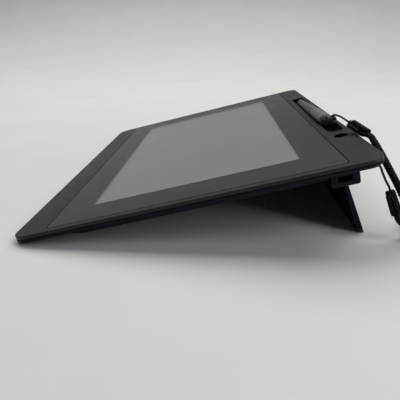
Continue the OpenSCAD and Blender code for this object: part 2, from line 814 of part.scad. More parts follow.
module pen_grip() {
    front_r = pen_front_d / 2;
    color([0.3, 0.3, 0.31]) on_pen() difference() {
        rotate_extrude() polygon([[0, grip_s], [nib_r + 0.7, grip_s], [front_r - 0.5, grip_s + 2.5],
            [front_r, front_s], [grip_end_d / 2, split_s], [0, split_s]]);
        translate([0, 0, grip_s - eps]) cylinder(r = nib_r + nib_clear, h = nib_bore_s);
        translate([0, 0, nib_bore_s]) cylinder(r = cavity_r, h = split_s);
        translate([0, 0, split_s - spigot_len]) cylinder(r = spigot_r + run_gap, h = spigot_len + eps);
    }
}

spigot_r = pen_d / 2 - barrel_wall;

module pen_barrel() {
    inner_r = spigot_r - barrel_wall / 2;
    color([0.36, 0.36, 0.37]) on_pen() difference() {
        union() {
            translate([0, 0, split_s]) rotate_extrude()
                polygon([[0, 0], [pen_d / 2 - 1.5 * grip_step, 0],
                    [pen_d / 2 - grip_step / 2, 2 * grip_step],
                    [pen_d / 2, tail_s - split_s], [0, tail_s - split_s]]);
            translate([0, 0, split_s - spigot_len + part_gap]) cylinder(r = spigot_r, h = spigot_len);
        }
        translate([0, 0, split_s - spigot_len]) cylinder(r = inner_r, h = pen_len);
    }
}

module pen_tail_cap() {
    plug_len = 5;
    plug_r = spigot_r - barrel_wall / 2 - run_gap;
    edge = 1.2;
    color([0.2, 0.2, 0.21]) on_pen() difference() {
        union() {
            translate([0, 0, tail_s - plug_len]) cylinder(r = plug_r, h = plug_len + eps);
            translate([0, 0, tail_s]) rotate_extrude()
                polygon([[0, 0], [pen_d / 2, 0], [pen_d / 2, pen_len - tail_s - edge],
                    [pen_d / 2 - edge, pen_len - tail_s], [0, pen_len - tail_s]]);
            box([-lug_t / 2, -lug_w / 2, pen_len - eps],
                [lug_t / 2, lug_w / 2, pen_len + lug_len - lug_w / 2]);
            translate([-lug_t / 2, 0, pen_len + lug_len - lug_w / 2])
                rotate([0, 90, 0]) cylinder(r = lug_w / 2, h = lug_t);
        }
        translate([-lug_t, 0, pen_len + lug_len - lug_w / 2])
            rotate([0, 90, 0]) cylinder(r = lug_hole_r, h = 2 * lug_t);
    }
}

module pen_nib() {
    color([0.2, 0.2, 0.2]) on_pen() rotate_extrude() polygon([[0, 0], [nib_r - 0.35, 0.15], [nib_r, 0.8],
        [nib_r, nib_len], [0, nib_len]]);
}

module pen_coil() {
    color([0.7, 0.4, 0.15]) on_pen() difference() {
        translate([0, 0, coil_s]) cylinder(r = coil_r, h = coil_len);
        translate([0, 0, coil_s - eps]) cylinder(r = nib_r + nib_clear, h = coil_len + 2 * eps);
    }
}

module pen_board() {
    half_w = cavity_r - part_gap;
    color(board_green) on_pen() {
        box([-pen_board_t / 2, -half_w, pen_board_s],
            [pen_board_t / 2, half_w, pen_board_s + pen_board_len]);
        box([-chip_h / 2, -chip_w / 2, pen_board_s + chip_s],
            [chip_h / 2, chip_w / 2, pen_board_s + chip_s + chip_len]);
    }
}

// A cord clip: a block with rounded sides between two points on the cord
module clip(p, q) {
    dir = unit(q - p);
    turn = atan2(dir[1], dir[0]);
    dip = acos(dir[2]);
    half = (clip_w - clip_t) / 2;
    color(rubber_black) translate(p) rotate([0, dip, turn]) linear_extrude(norm(q - p)) {
        translate([-clip_t / 2, -half]) square([clip_t, 2 * half]);
        for (side = [-half, half]) translate([0, side]) circle(clip_t / 2);
    }
}

module pen_loop_cord() {
    color("black") tube(smooth(pen_loop_route), thin_d / 2, 8);
}

module pen_end_clip() {
    clip(clip_a, clip_b);
}

module tether_cord() {
    color([0.1, 0.1, 0.1]) tube(smooth(braid_route), braid_d / 2, 8);
}

module tablet_end_clip() {
    clip(clip_c, clip_d);
}

module anchor_cord() {
    color("black") tube(smooth(anchor_route), thin_d / 2, 8);
}

front_frame();
cover_glass();
glass_tape();
display_panel();
backlight();
chassis();
sensor_board();
shield_plate();
main_board();
board_screws();
display_flex();
port_ribbon();
port_board();
usb_socket();
rear_cover();
case_screws();
hinge_housing();
housing_screws();
hinge_pins();
stand();
stand_foot();
front_feet();
housing_feet();
tether_anchor();
pen_grip();
pen_barrel();
pen_tail_cap();
pen_nib();
pen_coil();
pen_board();
pen_loop_cord();
pen_end_clip();
tether_cord();
tablet_end_clip();
anchor_cord();
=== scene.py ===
import json
from math import atan2, cos, pi, radians, sin

import bmesh
import bpy
from mathutils import Matrix, Vector


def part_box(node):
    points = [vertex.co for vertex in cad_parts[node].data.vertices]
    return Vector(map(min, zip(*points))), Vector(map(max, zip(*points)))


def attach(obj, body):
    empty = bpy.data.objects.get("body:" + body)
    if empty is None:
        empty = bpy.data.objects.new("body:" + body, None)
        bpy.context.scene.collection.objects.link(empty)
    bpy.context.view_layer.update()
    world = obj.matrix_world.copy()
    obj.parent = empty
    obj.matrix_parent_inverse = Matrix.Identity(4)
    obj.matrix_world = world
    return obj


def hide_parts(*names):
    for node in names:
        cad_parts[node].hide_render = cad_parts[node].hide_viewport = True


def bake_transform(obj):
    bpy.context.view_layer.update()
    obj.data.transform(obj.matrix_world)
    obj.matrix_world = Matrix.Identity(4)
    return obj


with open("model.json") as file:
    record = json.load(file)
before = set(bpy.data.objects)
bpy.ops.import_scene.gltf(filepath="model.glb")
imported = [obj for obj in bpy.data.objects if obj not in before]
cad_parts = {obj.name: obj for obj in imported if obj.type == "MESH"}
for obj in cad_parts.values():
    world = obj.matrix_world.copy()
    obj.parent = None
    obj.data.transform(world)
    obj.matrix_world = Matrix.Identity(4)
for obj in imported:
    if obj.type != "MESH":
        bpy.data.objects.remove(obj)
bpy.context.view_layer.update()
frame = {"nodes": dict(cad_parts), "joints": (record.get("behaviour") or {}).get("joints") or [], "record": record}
nodes = frame["nodes"]
bodies = frame["record"]["behaviour"]["bodies"]
body_of = {node: body for body, members in bodies.items() for node in members}
slot_of = {part["node"]: part["material_slot"] for part in frame["record"]["subparts"]}
joints = {joint["name"]: joint for joint in frame["joints"]}

MM = 0.001

# The tilted slab's own frame, in millimetres from the middle of its front edge
SLAB_W = 278
SLAB_D = 206
lift = Vector(joints["pen_lift"]["axis"])
TILT = atan2(-lift.y, lift.z)
frame_low, frame_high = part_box("front_frame")
SLAB = (
    Matrix.Translation((0, frame_low.y, frame_high.z - SLAB_D * MM * sin(TILT)))
    @ Matrix.Rotation(TILT, 4, "X")
    @ Matrix.Scale(MM, 4)
)
FROM_SLAB = SLAB.inverted()


def on_slab(x, y, z):
    return SLAB @ Vector((x, y, z))


# Camera
CAMERA_AT = (0.33486, 0.01492, 0.10861)
CAMERA_TURN = (68.07, 0.34, 92.71)
CAMERA_LENS = 36.4

bpy.ops.object.camera_add(location=CAMERA_AT, rotation=[radians(turn) for turn in CAMERA_TURN])
camera = bpy.context.object
camera.data.sensor_width = 36
camera.data.lens = CAMERA_LENS
camera.data.clip_start = 0.01
bpy.context.scene.camera = camera


# Selecting and editing
def take(*pieces):
    """Leaves only these pieces selected, the first of them active."""
    bpy.ops.object.select_all(action="DESELECT")
    for piece in pieces:
        piece.select_set(True)
    bpy.context.view_layer.objects.active = pieces[0]


def edit(piece, kind, chosen):
    """Opens a piece in edit mode with only its chosen faces or edges selected."""
    take(piece)
    bpy.ops.object.mode_set(mode="EDIT")
    bpy.ops.mesh.select_mode(type=kind)
    bpy.ops.mesh.select_all(action="DESELECT")
    mesh = bmesh.from_edit_mesh(piece.data)
    for part in mesh.edges if kind == "EDGE" else mesh.faces:
        if chosen(part):
            part.select_set(True)
    bmesh.update_edit_mesh(piece.data)


def leave():
    bpy.ops.object.mode_set(mode="OBJECT")


def middle(edge):
    """The middle of an edge, in the slab's millimetres."""
    return FROM_SLAB @ ((edge.verts[0].co + edge.verts[1].co) / 2)


SHARP = radians(24)


def is_sharp(edge):
    return len(edge.link_faces) == 2 and edge.calc_face_angle() > SHARP


def ease(piece, width, where, steps=3):
    """Rounds the sharp edges of a piece whose middles lie where the test says."""
    edit(piece, "EDGE", lambda edge: is_sharp(edge) and where(middle(edge)))
    bpy.ops.mesh.bevel(
        offset=width * MM, segments=steps, profile=0.5, affect="EDGES", clamp_overlap=True
    )
    leave()


def shade(piece, angle=38):
    """Smooth shading that keeps the flat faces flat."""
    take(piece)
    bpy.ops.object.shade_smooth_by_angle(angle=radians(angle))
    bpy.ops.object.modifier_add(type="WEIGHTED_NORMAL")
    piece.modifiers[-1].keep_sharp = True
    bpy.ops.object.modifier_apply(modifier=piece.modifiers[-1].name)


def apply_all(piece, place=None):
    """Puts a piece's place into its mesh, after a move by the given matrix."""
    take(piece)
    if place is not None:
        piece.matrix_world = place @ piece.matrix_world
    bpy.ops.object.transform_apply(location=True, rotation=True, scale=True)


def copy_of(node):
    """A copy of a node's mesh, with its loose triangles merged into whole faces."""
    piece = bpy.data.objects.new(node + "_eased", nodes[node].data.copy())
    bpy.context.scene.collection.objects.link(piece)
    edit(piece, "FACE", lambda face: True)
    bpy.ops.mesh.remove_doubles(threshold=0.002 * MM)
    bpy.ops.mesh.dissolve_limited(angle_limit=radians(0.5))
    leave()
    return piece


def join(name, pieces):
    """Several meshes as one piece."""
    take(*pieces)
    bpy.ops.object.join()
    bpy.context.object.name = name
    return bpy.context.object


worn_slot = {}


def wear(piece, slot):
    """Notes the finish that a piece takes."""
    worn_slot[piece.name] = slot


def settle(piece, body, slot, *stands_for):
    """A finished piece rides on its body, takes a finish and stands for its nodes."""
    wear(piece, slot)
    if stands_for:
        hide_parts(*stands_for)
    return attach(piece, body)


# Cord routes, close to those of the solids, from the back edge above the tether's anchor
ANCHOR_X = 104
RIM_EDGE_Z = -3.4
BRAID_D = 4.2
LEAD = 3
BACK_EDGE = on_slab(ANCHOR_X, SLAB_D, RIM_EDGE_Z) / MM
CLIP_A = BACK_EDGE + Vector((-24, -3.2, 8.4))
CLIP_B = BACK_EDGE + Vector((-9, 2.4, 5))
CLIP_C = BACK_EDGE + Vector((21, 8.8, -20.2))
CLIP_D = BACK_EDGE + Vector((21, 14.1, -32.9))
# How far the cords run on inside the clips
BRAID_IN = 4
THIN_IN = 1.2

PEN_LOOP = [
    (-57.3, -7.9, 2.9), (-57.4, -7.4, 4.8), (-56.2, -6.5, 6.7), (-53.2, -5.7, 8.1),
    (-48, -5.6, 8.9), (-39.5, -5.7, 9.7), (-33.5, -5.5, 9.8),
]
BRAID_FALL = [
    (-2.2, 4.7, 2), (4, 6.4, -2.2), (10.5, 8.1, -6.8), (15.5, 9.9, -11.2),
    (19, 12.1, -15.7), (22.2, 15.5, -22.4), (24.4, 20, -30.5),
]
# On the table the heights count from a braid lying flat
BRAID_TURN = [
    (25.4, 25.6, 10), (26.2, 32.6, 3.8), (25.8, 39.8, 0.7), (23, 47.3, 0.1), (17.5, 53.8, 0.1),
    (9.5, 57.3, 0.1), (1.5, 56.3, 0.1), (-4.5, 51.8, 0.1), (-7, 44.8, 0.1), (-5.5, 37.8, 0.1),
    (-1, 31.8, 0.3), (5.5, 27.8, 1.1), (12, 24.8, 3.2), (17.8, 21.1, 6.8),
]
ANCHOR_RUN = [
    (0, -7.2, -6.8), (4, -5.6, -7.2), (9, -3.2, -6.5), (13.5, -0.4, -5.9),
    (17.3, 2.4, -6.9), (18.4, 4, -10.2), (19.7, 5.9, -14.3),
]


def from_edge(points):
    return [BACK_EDGE + Vector(point) for point in points]


def on_table(points):
    return [Vector((BACK_EDGE.x + x, BACK_EDGE.y + y, BRAID_D / 2 + z)) for x, y, z in points]


def out_of(end, far_end, inside, aside=Vector()):
    """Points that leave a clip's end, starting a little inside it and aside of its middle."""
    way = (end - far_end).normalized()
    return [end - way * inside + aside, end + way * LEAD]


def into(end, far_end, inside, aside=Vector()):
    return out_of(end, far_end, inside, aside)[::-1]


def clip_turn(start, end, plate_way):
    """A clip's own directions: x across it, y away from its plate, z from thin cord to braid."""
    way = (end - start).normalized()
    face = Vector(plate_way)
    face = (face - way * face.dot(way)).normalized()
    return Matrix((way.cross(face), -face, way)).transposed()


PEN_PLATE_WAY = (0.42, -0.82, 0.3)
TABLET_PLATE_WAY = (0.92, -0.22, 0.23)
PEN_CLIP_TURN = clip_turn(CLIP_A, CLIP_B, PEN_PLATE_WAY)
TABLET_CLIP_TURN = clip_turn(CLIP_C, CLIP_D, TABLET_PLATE_WAY)
# The side of each clip, along its own x, that the braid's end is folded back on
PEN_CLIP_FOLD = -1
TABLET_CLIP_FOLD = 1
# How far the braid lies to the other side
BRAID_ASIDE = 1.5


def curve_through(points, steps=12):
    """Points close together on a smooth curve through the given ones."""
    line = []
    last = len(points) - 1
    for i in range(last):
        a, b, c, d = points[max(i - 1, 0)], points[i], points[i + 1], points[min(i + 2, last)]
        for step in range(steps):
            t = step / steps
            line.append(
                0.5 * (2 * b + (c - a) * t + (2 * a - 5 * b + 4 * c - d) * t ** 2
                       + (3 * b - a - 3 * c + d) * t ** 3)
            )
    return line + [points[-1]]


def spaced(line, step):
    """The same line with its points an even step apart."""
    length = sum((b - a).length for a, b in zip(line, line[1:]))
    count = round(length / step)
    gap = length / count
    even = [line[0]]
    left = gap
    for a, b in zip(line, line[1:]):
        span = (b - a).length
        done = 0
        while span - done >= left - 1e-9 and len(even) < count:
            done += left
            even.append(a.lerp(b, done / span))
            left = gap
        left -= span - done
    return even + [line[-1]]


def carried(line):
    """Each point of a line with two directions across it that turn as little as they can."""
    last = len(line) - 1
    ways = [(line[min(i + 1, last)] - line[max(i - 1, 0)]).normalized() for i in range(last + 1)]
    side = ways[0].orthogonal().normalized()
    result = []
    for point, way in zip(line, ways):
        side = (side - way * side.dot(way)).normalized()
        result.append((point, side, way.cross(side)))
    return result


def strand(centres, outward, half_width, half_thick, sides):
    """One strand: rings of an oval section round its centres, with the seam on its inner side.
    Gives its points, its faces, and for each point its distance along and its share round."""
    points, faces, marks = [], [], []
    last = len(centres) - 1
    along = 0
    for i, (centre, out) in enumerate(zip(centres, outward)):
        way = (centres[min(i + 1, last)] - centres[max(i - 1, 0)]).normalized()
        across = way.cross(out).normalized()
        rise = across.cross(way)
        along += (centre - centres[i - 1]).length if i else 0
        for k in range(sides):
            turn = 2 * pi * k / sides + pi
            points.append(centre + rise * (half_thick * cos(turn)) + across * (half_width * sin(turn)))
            marks.append((along, k / sides))
    for i in range(last):
        for k in range(sides):
            here, there = i * sides, (i + 1) * sides
            nxt = (k + 1) % sides
            faces.append((here + k, here + nxt, there + nxt, there + k))
    faces.append(tuple(range(sides))[::-1])
    faces.append(tuple(last * sides + k for k in range(sides)))
    return points, faces, marks


def cord_piece(name, strands):
    """A mesh of several strands, from millimetres, with where each point lies on its strand."""
    points, faces, marks = [], [], []
    for own_points, own_faces, own_marks in strands:
        start = len(points)
        points += [point * MM for point in own_points]
        faces += [tuple(start + corner for corner in face) for face in own_faces]
        marks += own_marks
    mesh = bpy.data.meshes.new(name)
    mesh.from_pydata(points, [], faces)
    for index, mark in enumerate(("along", "around")):
        attribute = mesh.attributes.new(mark, "FLOAT", "POINT")
        attribute.data.foreach_set("value", [pair[index] for pair in marks])
    piece = bpy.data.objects.new(name, mesh)
    bpy.context.scene.collection.objects.link(piece)
    take(piece)
    bpy.ops.object.shade_smooth()
    bpy.ops.object.mode_set(mode="EDIT")
    bpy.ops.mesh.select_all(action="SELECT")
    bpy.ops.mesh.normals_make_consistent(inside=False)
    leave()
    return piece


# The braid: strands each way over a core, each passing over one and under the next
BRAID_EACH_WAY = 6
BRAID_PITCH = 11
BRAID_MID_R = 1.56
BRAID_WEAVE = 0.24
BRAID_HALF_W = 0.55
BRAID_HALF_T = 0.3
BRAID_CORE_R = 1.1
BRAID_STEP = BRAID_PITCH / BRAID_EACH_WAY / 4


def braided(places):
    """A braid along places whose two directions across give its section's half width and height."""
    strands = []
    for hand in (1, -1):
        for number in range(BRAID_EACH_WAY):
            centres, outward = [], []
            for i, (point, side, up) in enumerate(places):
                turn = 2 * pi * (number / BRAID_EACH_WAY + hand * i * BRAID_STEP / BRAID_PITCH)
                out = side * cos(turn) + up * sin(turn)
                r = BRAID_MID_R + hand * BRAID_WEAVE * cos(BRAID_EACH_WAY * turn)
                centres.append(point + out * r)
                outward.append(out.normalized())
            strands.append(strand(centres, outward, BRAID_HALF_W, BRAID_HALF_T, 6))
    core = places[::4] + [places[-1]]
    middle_side, middle_up = core[len(core) // 2][1:]
    half_wide, half_thick = BRAID_CORE_R * middle_up.length, BRAID_CORE_R * middle_side.length
    strands.append(strand([p for p, _, _ in core], [side for _, side, _ in core], half_wide, half_thick, 8))
    return strands


def flattened(places, way, shares):
    """Draws a cord's section in along one direction, by a share at each place."""
    return [
        (point, *(across + way * (across.dot(way) * (share - 1)) for across in (side, up)))
        for (point, side, up), share in zip(places, shares)
    ]


# The thin cords: three strands twisted together
TWIST_PITCH = 3.2
TWIST_R = 0.33
TWIST_STRAND_R = 0.36
TWIST_STEP = TWIST_PITCH / 12


def twisted(line):
    places = carried(spaced(line, TWIST_STEP))
    strands = []
    for number in range(3):
        centres, outward = [], []
        for i, (point, side, up) in enumerate(places):
            turn = 2 * pi * (number / 3 + i * TWIST_STEP / TWIST_PITCH)
            out = side * cos(turn) + up * sin(turn)
            centres.append(point + out * TWIST_R)
            outward.append(out)
        strands.append(strand(centres, outward, TWIST_STRAND_R, TWIST_STRAND_R, 8))
    return strands


braid_line = curve_through(
    out_of(CLIP_B, CLIP_A, BRAID_IN, PEN_CLIP_TURN.col[0] * (-PEN_CLIP_FOLD * BRAID_ASIDE))
    + from_edge(BRAID_FALL)
    + on_table(BRAID_TURN)
    + into(CLIP_D, CLIP_C, BRAID_IN, TABLET_CLIP_TURN.col[0] * (-TABLET_CLIP_FOLD * BRAID_ASIDE))
)
pen_loop_line = curve_through(from_edge(PEN_LOOP) + into(CLIP_A, CLIP_B, THIN_IN))
anchor_line = curve_through(from_edge(ANCHOR_RUN) + into(CLIP_C, CLIP_D, THIN_IN))


# The braid is drawn flat where it leaves a clip and grows round over a short run
FLAT_SHARE = 0.76
FLAT_RUN = 12
braid_places = carried(spaced(braid_line, BRAID_STEP))
flat_shares = [
    min(1, FLAT_SHARE + (1 - FLAT_SHARE) * max(0, i * BRAID_STEP - BRAID_IN) / FLAT_RUN)
    for i in range(len(braid_places))
]
braid_places = flattened(braid_places, PEN_CLIP_TURN.col[0], flat_shares)
braid_places = flattened(braid_places, TABLET_CLIP_TURN.col[0], flat_shares[::-1])
tether_braid = cord_piece("tether_braid", braided(braid_places))
pen_loop = cord_piece("pen_loop", twisted(pen_loop_line))
anchor_line_cord = cord_piece("anchor_line", twisted(anchor_line))

# The loop through the pen's eyelet and the knot that closes it, in the slab's millimetres
EYELET_LOOP = [
    (47.6, 199.4, 1.8), (47.6, 199.3, 3.1), (46.7, 199, 4.2), (45.3, 198.6, 4.1), (44.3, 198.4, 2.8),
    (44.2, 198.4, 1.2), (44.6, 198.5, -0.2), (45.9, 198.8, -0.6), (47.3, 199.1, 0.1), (47.5, 199.2, 1.4),
]
KNOT_FROM = (46.9, 199.2, 1.1)
KNOT_TO = (49.9, 203, 2.7)
KNOT_TURNS = 4
KNOT_END_R = 1.5
KNOT_BULGE = 0.7
KNOT_STEPS = 64


def knot_line():
    """Turns wrapped side by side from the eyelet outwards."""
    start, end = on_slab(*KNOT_FROM) / MM, on_slab(*KNOT_TO) / MM
    axis = (end - start).normalized()
    side = axis.orthogonal().normalized()
    up = axis.cross(side)
    line = []
    for i in range(KNOT_STEPS + 1):
        share = i / KNOT_STEPS
        turn = 2 * pi * KNOT_TURNS * share
        bulge = KNOT_END_R + KNOT_BULGE * sin(pi * share)
        line.append(start.lerp(end, share) + (side * cos(turn) + up * sin(turn)) * bulge)
    return line


eyelet_line = curve_through([on_slab(*point) / MM for point in EYELET_LOOP])
eyelet_knot = cord_piece("eyelet_knot", twisted(eyelet_line) + twisted(knot_line()))


# Tether clips: a rounded block with a raised plate along one side and a mouth for the braid,
# whose end is folded back along the side next to the plate
CLIP_W = 6.1
CLIP_T = 4.4
CLIP_SHORT = 2.6
CLIP_NOSE_OUT = 0.8
CLIP_NOSE_SHARE = 0.8
PEN_NOSE_SHIFT = 0.75
TABLET_NOSE_SHIFT = -0.1
CLIP_EDGE = 1.2
CLIP_NOSE = 1.7
CLIP_MOUTH_RIM = 0.5
CLIP_MOUTH_DEPTH = 2.2
CLIP_LIP = 0.15
PLATE_AT = -1.15
PLATE_W = 1.7
PLATE_END = 0.8
PLATE_RISE = 0.4
PLATE_SUNK = 0.6
PLATE_EDGE = 0.3
PLATE_IN = 1.6
FOLD_X = 0.1
FOLD_FROM = 2.4
FOLD_OVER = 0.4
FOLD_SHARE = 0.68


def block(name, size, at):
    """A box of a given size and place, in millimetres."""
    bpy.ops.mesh.primitive_cube_add(size=1, location=Vector(at) * MM)
    piece = bpy.context.object
    piece.name = name
    piece.scale = Vector(size) * MM
    apply_all(piece)
    return piece


def lies_along(edge, axis):
    return abs((edge.verts[0].co - edge.verts[1].co).normalized()[axis]) > 0.99


def at_height(part, axis, height):
    return all(abs(corner.co[axis] - height * MM) < 1e-6 for corner in part.verts)


def bevel(piece, chosen, width, steps):
    edit(piece, "EDGE", chosen)
    bpy.ops.mesh.bevel(offset=width * MM, segments=steps, affect="EDGES", clamp_overlap=True)
    leave()


def combine(piece, tool, operation):
    """Adds a tool's shape to a piece, or cuts it out."""
    take(piece)
    bpy.ops.object.modifier_add(type="BOOLEAN")
    change = piece.modifiers[-1]
    change.operation = operation
    change.object = tool
    bpy.ops.object.modifier_apply(modifier=change.name)
    bpy.data.objects.remove(tool)


def clip(name, start, end, turn, fold_side, nose_shift):
    """A clip from its thin cord's end to the braid's end, cut away on one side for the fold."""
    length = (end - start).length - CLIP_SHORT
    size = (CLIP_W, CLIP_T, length + CLIP_NOSE_OUT)
    piece = block(name, size, (0, 0, (length - CLIP_NOSE_OUT) / 2))
    edit(piece, "FACE", lambda face: face.normal.z < -0.9)
    bpy.ops.transform.resize(value=(CLIP_NOSE_SHARE, CLIP_NOSE_SHARE, 1))
    bpy.ops.transform.translate(value=(-fold_side * nose_shift * MM, 0, 0))
    leave()
    bevel(piece, lambda edge: lies_along(edge, 2), CLIP_EDGE, 5)
    bevel(piece, lambda edge: at_height(edge, 2, -CLIP_NOSE_OUT), CLIP_NOSE, 6)
    room = length + 1 - FOLD_FROM
    pocket = block("pocket", (CLIP_W, 2 * CLIP_T, room),
                   (fold_side * (FOLD_X + CLIP_W / 2), 0, FOLD_FROM + room / 2))
    combine(piece, pocket, "DIFFERENCE")
    edit(piece, "FACE", lambda face: face.normal.z > 0.9 and at_height(face, 2, length))
    bpy.ops.mesh.inset(thickness=CLIP_MOUTH_RIM * MM)
    bpy.ops.mesh.extrude_region_move(TRANSFORM_OT_translate={"value": (0, 0, -CLIP_MOUTH_DEPTH * MM)})
    leave()
    bevel(piece, lambda edge: at_height(edge, 2, length) and is_sharp(edge), CLIP_LIP, 2)

    plate_size = (PLATE_W, PLATE_RISE + PLATE_SUNK, length - 2 * PLATE_IN)
    plate_at = (fold_side * PLATE_AT, (PLATE_SUNK - PLATE_RISE - CLIP_T) / 2, length / 2)
    plate = block("plate", plate_size, plate_at)
    bevel(plate, lambda edge: lies_along(edge, 1), PLATE_END, 6)
    bevel(plate, lambda edge: at_height(edge, 1, -PLATE_RISE - CLIP_T / 2), PLATE_EDGE, 3)
    combine(piece, plate, "UNION")
    apply_all(piece, Matrix.Translation(start * MM) @ turn.to_4x4())
    shade(piece)
    return piece


def fold(name, start, end, turn, fold_side):
    """The braid's end, flat along the clip's cut-away side and a little longer than it."""
    across, away, way = turn.col
    length = (end - start).length
    middle_x = FOLD_X + FOLD_SHARE * BRAID_D / 2
    base = start + across * (fold_side * middle_x)
    line = [base + way * FOLD_FROM, base + way * (length + FOLD_OVER)]
    places = [(point, across * FOLD_SHARE, away) for point in spaced(line, BRAID_STEP)]
    return cord_piece(name, braided(places))


pen_end_clip = settle(
    clip("tether_clip_pen_end", CLIP_A, CLIP_B, PEN_CLIP_TURN, PEN_CLIP_FOLD, PEN_NOSE_SHIFT),
    "tablet", "clip", "pen_end_clip",
)
settle(fold("braid_fold_pen_end", CLIP_A, CLIP_B, PEN_CLIP_TURN, PEN_CLIP_FOLD), "tablet", "braid")
tablet_end_clip = settle(
    clip(
        "tether_clip_tablet_end", CLIP_C, CLIP_D, TABLET_CLIP_TURN, TABLET_CLIP_FOLD, TABLET_NOSE_SHIFT
    ),
    "tablet", "clip", "tablet_end_clip",
)
settle(
    fold("braid_fold_tablet_end", CLIP_C, CLIP_D, TABLET_CLIP_TURN, TABLET_CLIP_FOLD), "tablet", "braid"
)

settle(tether_braid, "tablet", "braid", "tether_cord")
settle(anchor_line_cord, "tablet", "thin_cord", "anchor_cord")
settle(eyelet_knot, "pen", "thin_cord")
wear(pen_loop, "thin_cord")
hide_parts("pen_loop_cord")
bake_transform(pen_loop)


# The moulded pieces, with their edges eased
GLASS_X = 134.85
GLASS_Y = (20, 188.4)
BAND_Y = (188.6, 205)
BAND_X = 100
RIM_IN_X = 135
RIM_IN_Y = (5, 203)
FRAME_BOTTOM = -2.1
RIM_TOP = -2.4
RIM_BOTTOM = -4.6
BELLY_BOTTOM = -10.2
BELLY_IN_X = 124
BELLY_IN_Y = 34
STAND_TOP = -13
HOUSING_X = 131
HOUSING_STEP_X = 114.6
HOUSING_STEP_Y = 193
SEAT = 0.03


def level(p, height):
    return abs(p.z - height) < SEAT


def in_glass(p):
    return abs(p.x) < GLASS_X + SEAT and GLASS_Y[0] - SEAT < p.y < GLASS_Y[1] + SEAT


def in_band(p):
    return abs(p.x) < BAND_X and BAND_Y[0] < p.y < BAND_Y[1]


def at_rim(p):
    return not in_glass(p) and not in_band(p)


def outside_belly(p):
    return abs(p.x) > RIM_IN_X or p.y < RIM_IN_Y[0] or p.y > RIM_IN_Y[1]


def anywhere(p):
    return True


EASED = {
    "front_frame": [
        (0.4, lambda p: level(p, 0) and at_rim(p), 3),
        (0.28, lambda p: level(p, 0) and in_glass(p), 2),
        (0.25, lambda p: level(p, 0) and in_band(p), 3),
        (0.2, lambda p: level(p, FRAME_BOTTOM) and at_rim(p) and abs(p.x) > GLASS_X, 2),
    ],
    "cover_glass": [(0.2, lambda p: level(p, 0), 3)],
    "rear_cover": [
        (0.2, lambda p: level(p, RIM_TOP), 2),
        (0.35, lambda p: level(p, RIM_EDGE_Z), 3),
        (0.4, lambda p: level(p, RIM_BOTTOM) and outside_belly(p), 2),
        (0.9, lambda p: level(p, BELLY_BOTTOM) and (abs(p.x) > BELLY_IN_X or p.y < BELLY_IN_Y), 4),
    ],
    "hinge_housing": [
        (0.4, lambda p: abs(abs(p.x) - HOUSING_X) < SEAT, 3),
        (0.25, lambda p: abs(abs(p.x) - HOUSING_STEP_X) < SEAT and p.y > HOUSING_STEP_Y, 2),
    ],
    "stand": [(0.45, lambda p: p.z < STAND_TOP, 3)],
    "stand_foot": [(0.4, anywhere, 3)],
    "front_feet": [(0.5, anywhere, 3)],
    "housing_feet": [(0.25, anywhere, 3)],
    "usb_socket": [(0.08, anywhere, 2)],
    "pen_grip": [(0.15, anywhere, 2)],
    "pen_barrel": [(0.12, anywhere, 2)],
    "pen_tail_cap": [(0.3, anywhere, 3)],
}
for node, passes in EASED.items():
    piece = copy_of(node)
    for width, where, steps in passes:
        ease(piece, width, where, steps)
    shade(piece)
    settle(piece, body_of[node], slot_of[node], node)


# Case screws: a bevelled head with a cross recess, on its shank
SCREW_X = 120.5
SCREW_Y = (35.8, 96.8, 157.8)
SCREW_FACE_Z = -10.1
SCREW_HEAD_R = 2.1
SCREW_HEAD_H = 0.7
SCREW_SHANK_R = 1
SCREW_SHANK = 3.6
SCREW_TAPER = 0.8
SCREW_EDGE = 0.22
CROSS_W = 0.55
CROSS_REACH = 2.3
CROSS_DEPTH = 0.5


def screw():
    """One screw with its face at the origin, looking up."""
    bpy.ops.object.select_all(action="DESELECT")
    bpy.ops.mesh.primitive_cylinder_add(
        vertices=32, radius=SCREW_HEAD_R * MM, depth=SCREW_HEAD_H * MM,
        location=(0, 0, -SCREW_HEAD_H / 2 * MM),
    )
    piece = bpy.context.object
    apply_all(piece)
    bevel(piece, lambda edge: at_height(edge, 2, 0), SCREW_EDGE, 3)
    for size in ((CROSS_REACH, CROSS_W), (CROSS_W, CROSS_REACH)):
        cross = block("cross", (*size, 2 * CROSS_DEPTH), (0, 0, 0))
        combine(piece, cross, "DIFFERENCE")
    edit(piece, "FACE", lambda face: face.normal.z < -0.9 and at_height(face, 2, -SCREW_HEAD_H))
    bpy.ops.mesh.inset(thickness=(SCREW_HEAD_R - SCREW_SHANK_R) * MM)
    bpy.ops.mesh.extrude_region_move(TRANSFORM_OT_translate={"value": (0, 0, -SCREW_SHANK * MM)})
    bpy.ops.transform.resize(value=(SCREW_TAPER, SCREW_TAPER, 1))
    leave()
    return piece


def copied(piece, place):
    """A copy of a piece with its own mesh, moved by a matrix."""
    take(piece)
    bpy.ops.object.duplicate()
    other = bpy.context.object
    apply_all(other, place)
    return other


IN_MM = Matrix.Scale(1 / MM, 4)
first_screw = screw()
screws = [
    copied(
        first_screw,
        SLAB @ Matrix.Translation((x, y, SCREW_FACE_Z)) @ Matrix.Rotation(pi, 4, "X") @ IN_MM,
    )
    for x in (-SCREW_X, SCREW_X)
    for y in SCREW_Y
]
bpy.data.objects.remove(first_screw)
case_screws = join("case_screws_crossed", screws)
shade(case_screws)
settle(case_screws, "tablet", "steel", "case_screws")

# The tether's staple: a round wire bent twice, its legs up in the brim
STAPLE_AT = (ANCHOR_X, 197.5, -3.3)
STAPLE_HALF = 2.5
STAPLE_DROP = 3.5
STAPLE_BEND = 1.1
STAPLE_R = 0.7


def pull(x, y, z):
    bpy.ops.mesh.extrude_region_move(TRANSFORM_OT_translate={"value": Vector((x, y, z)) * MM})


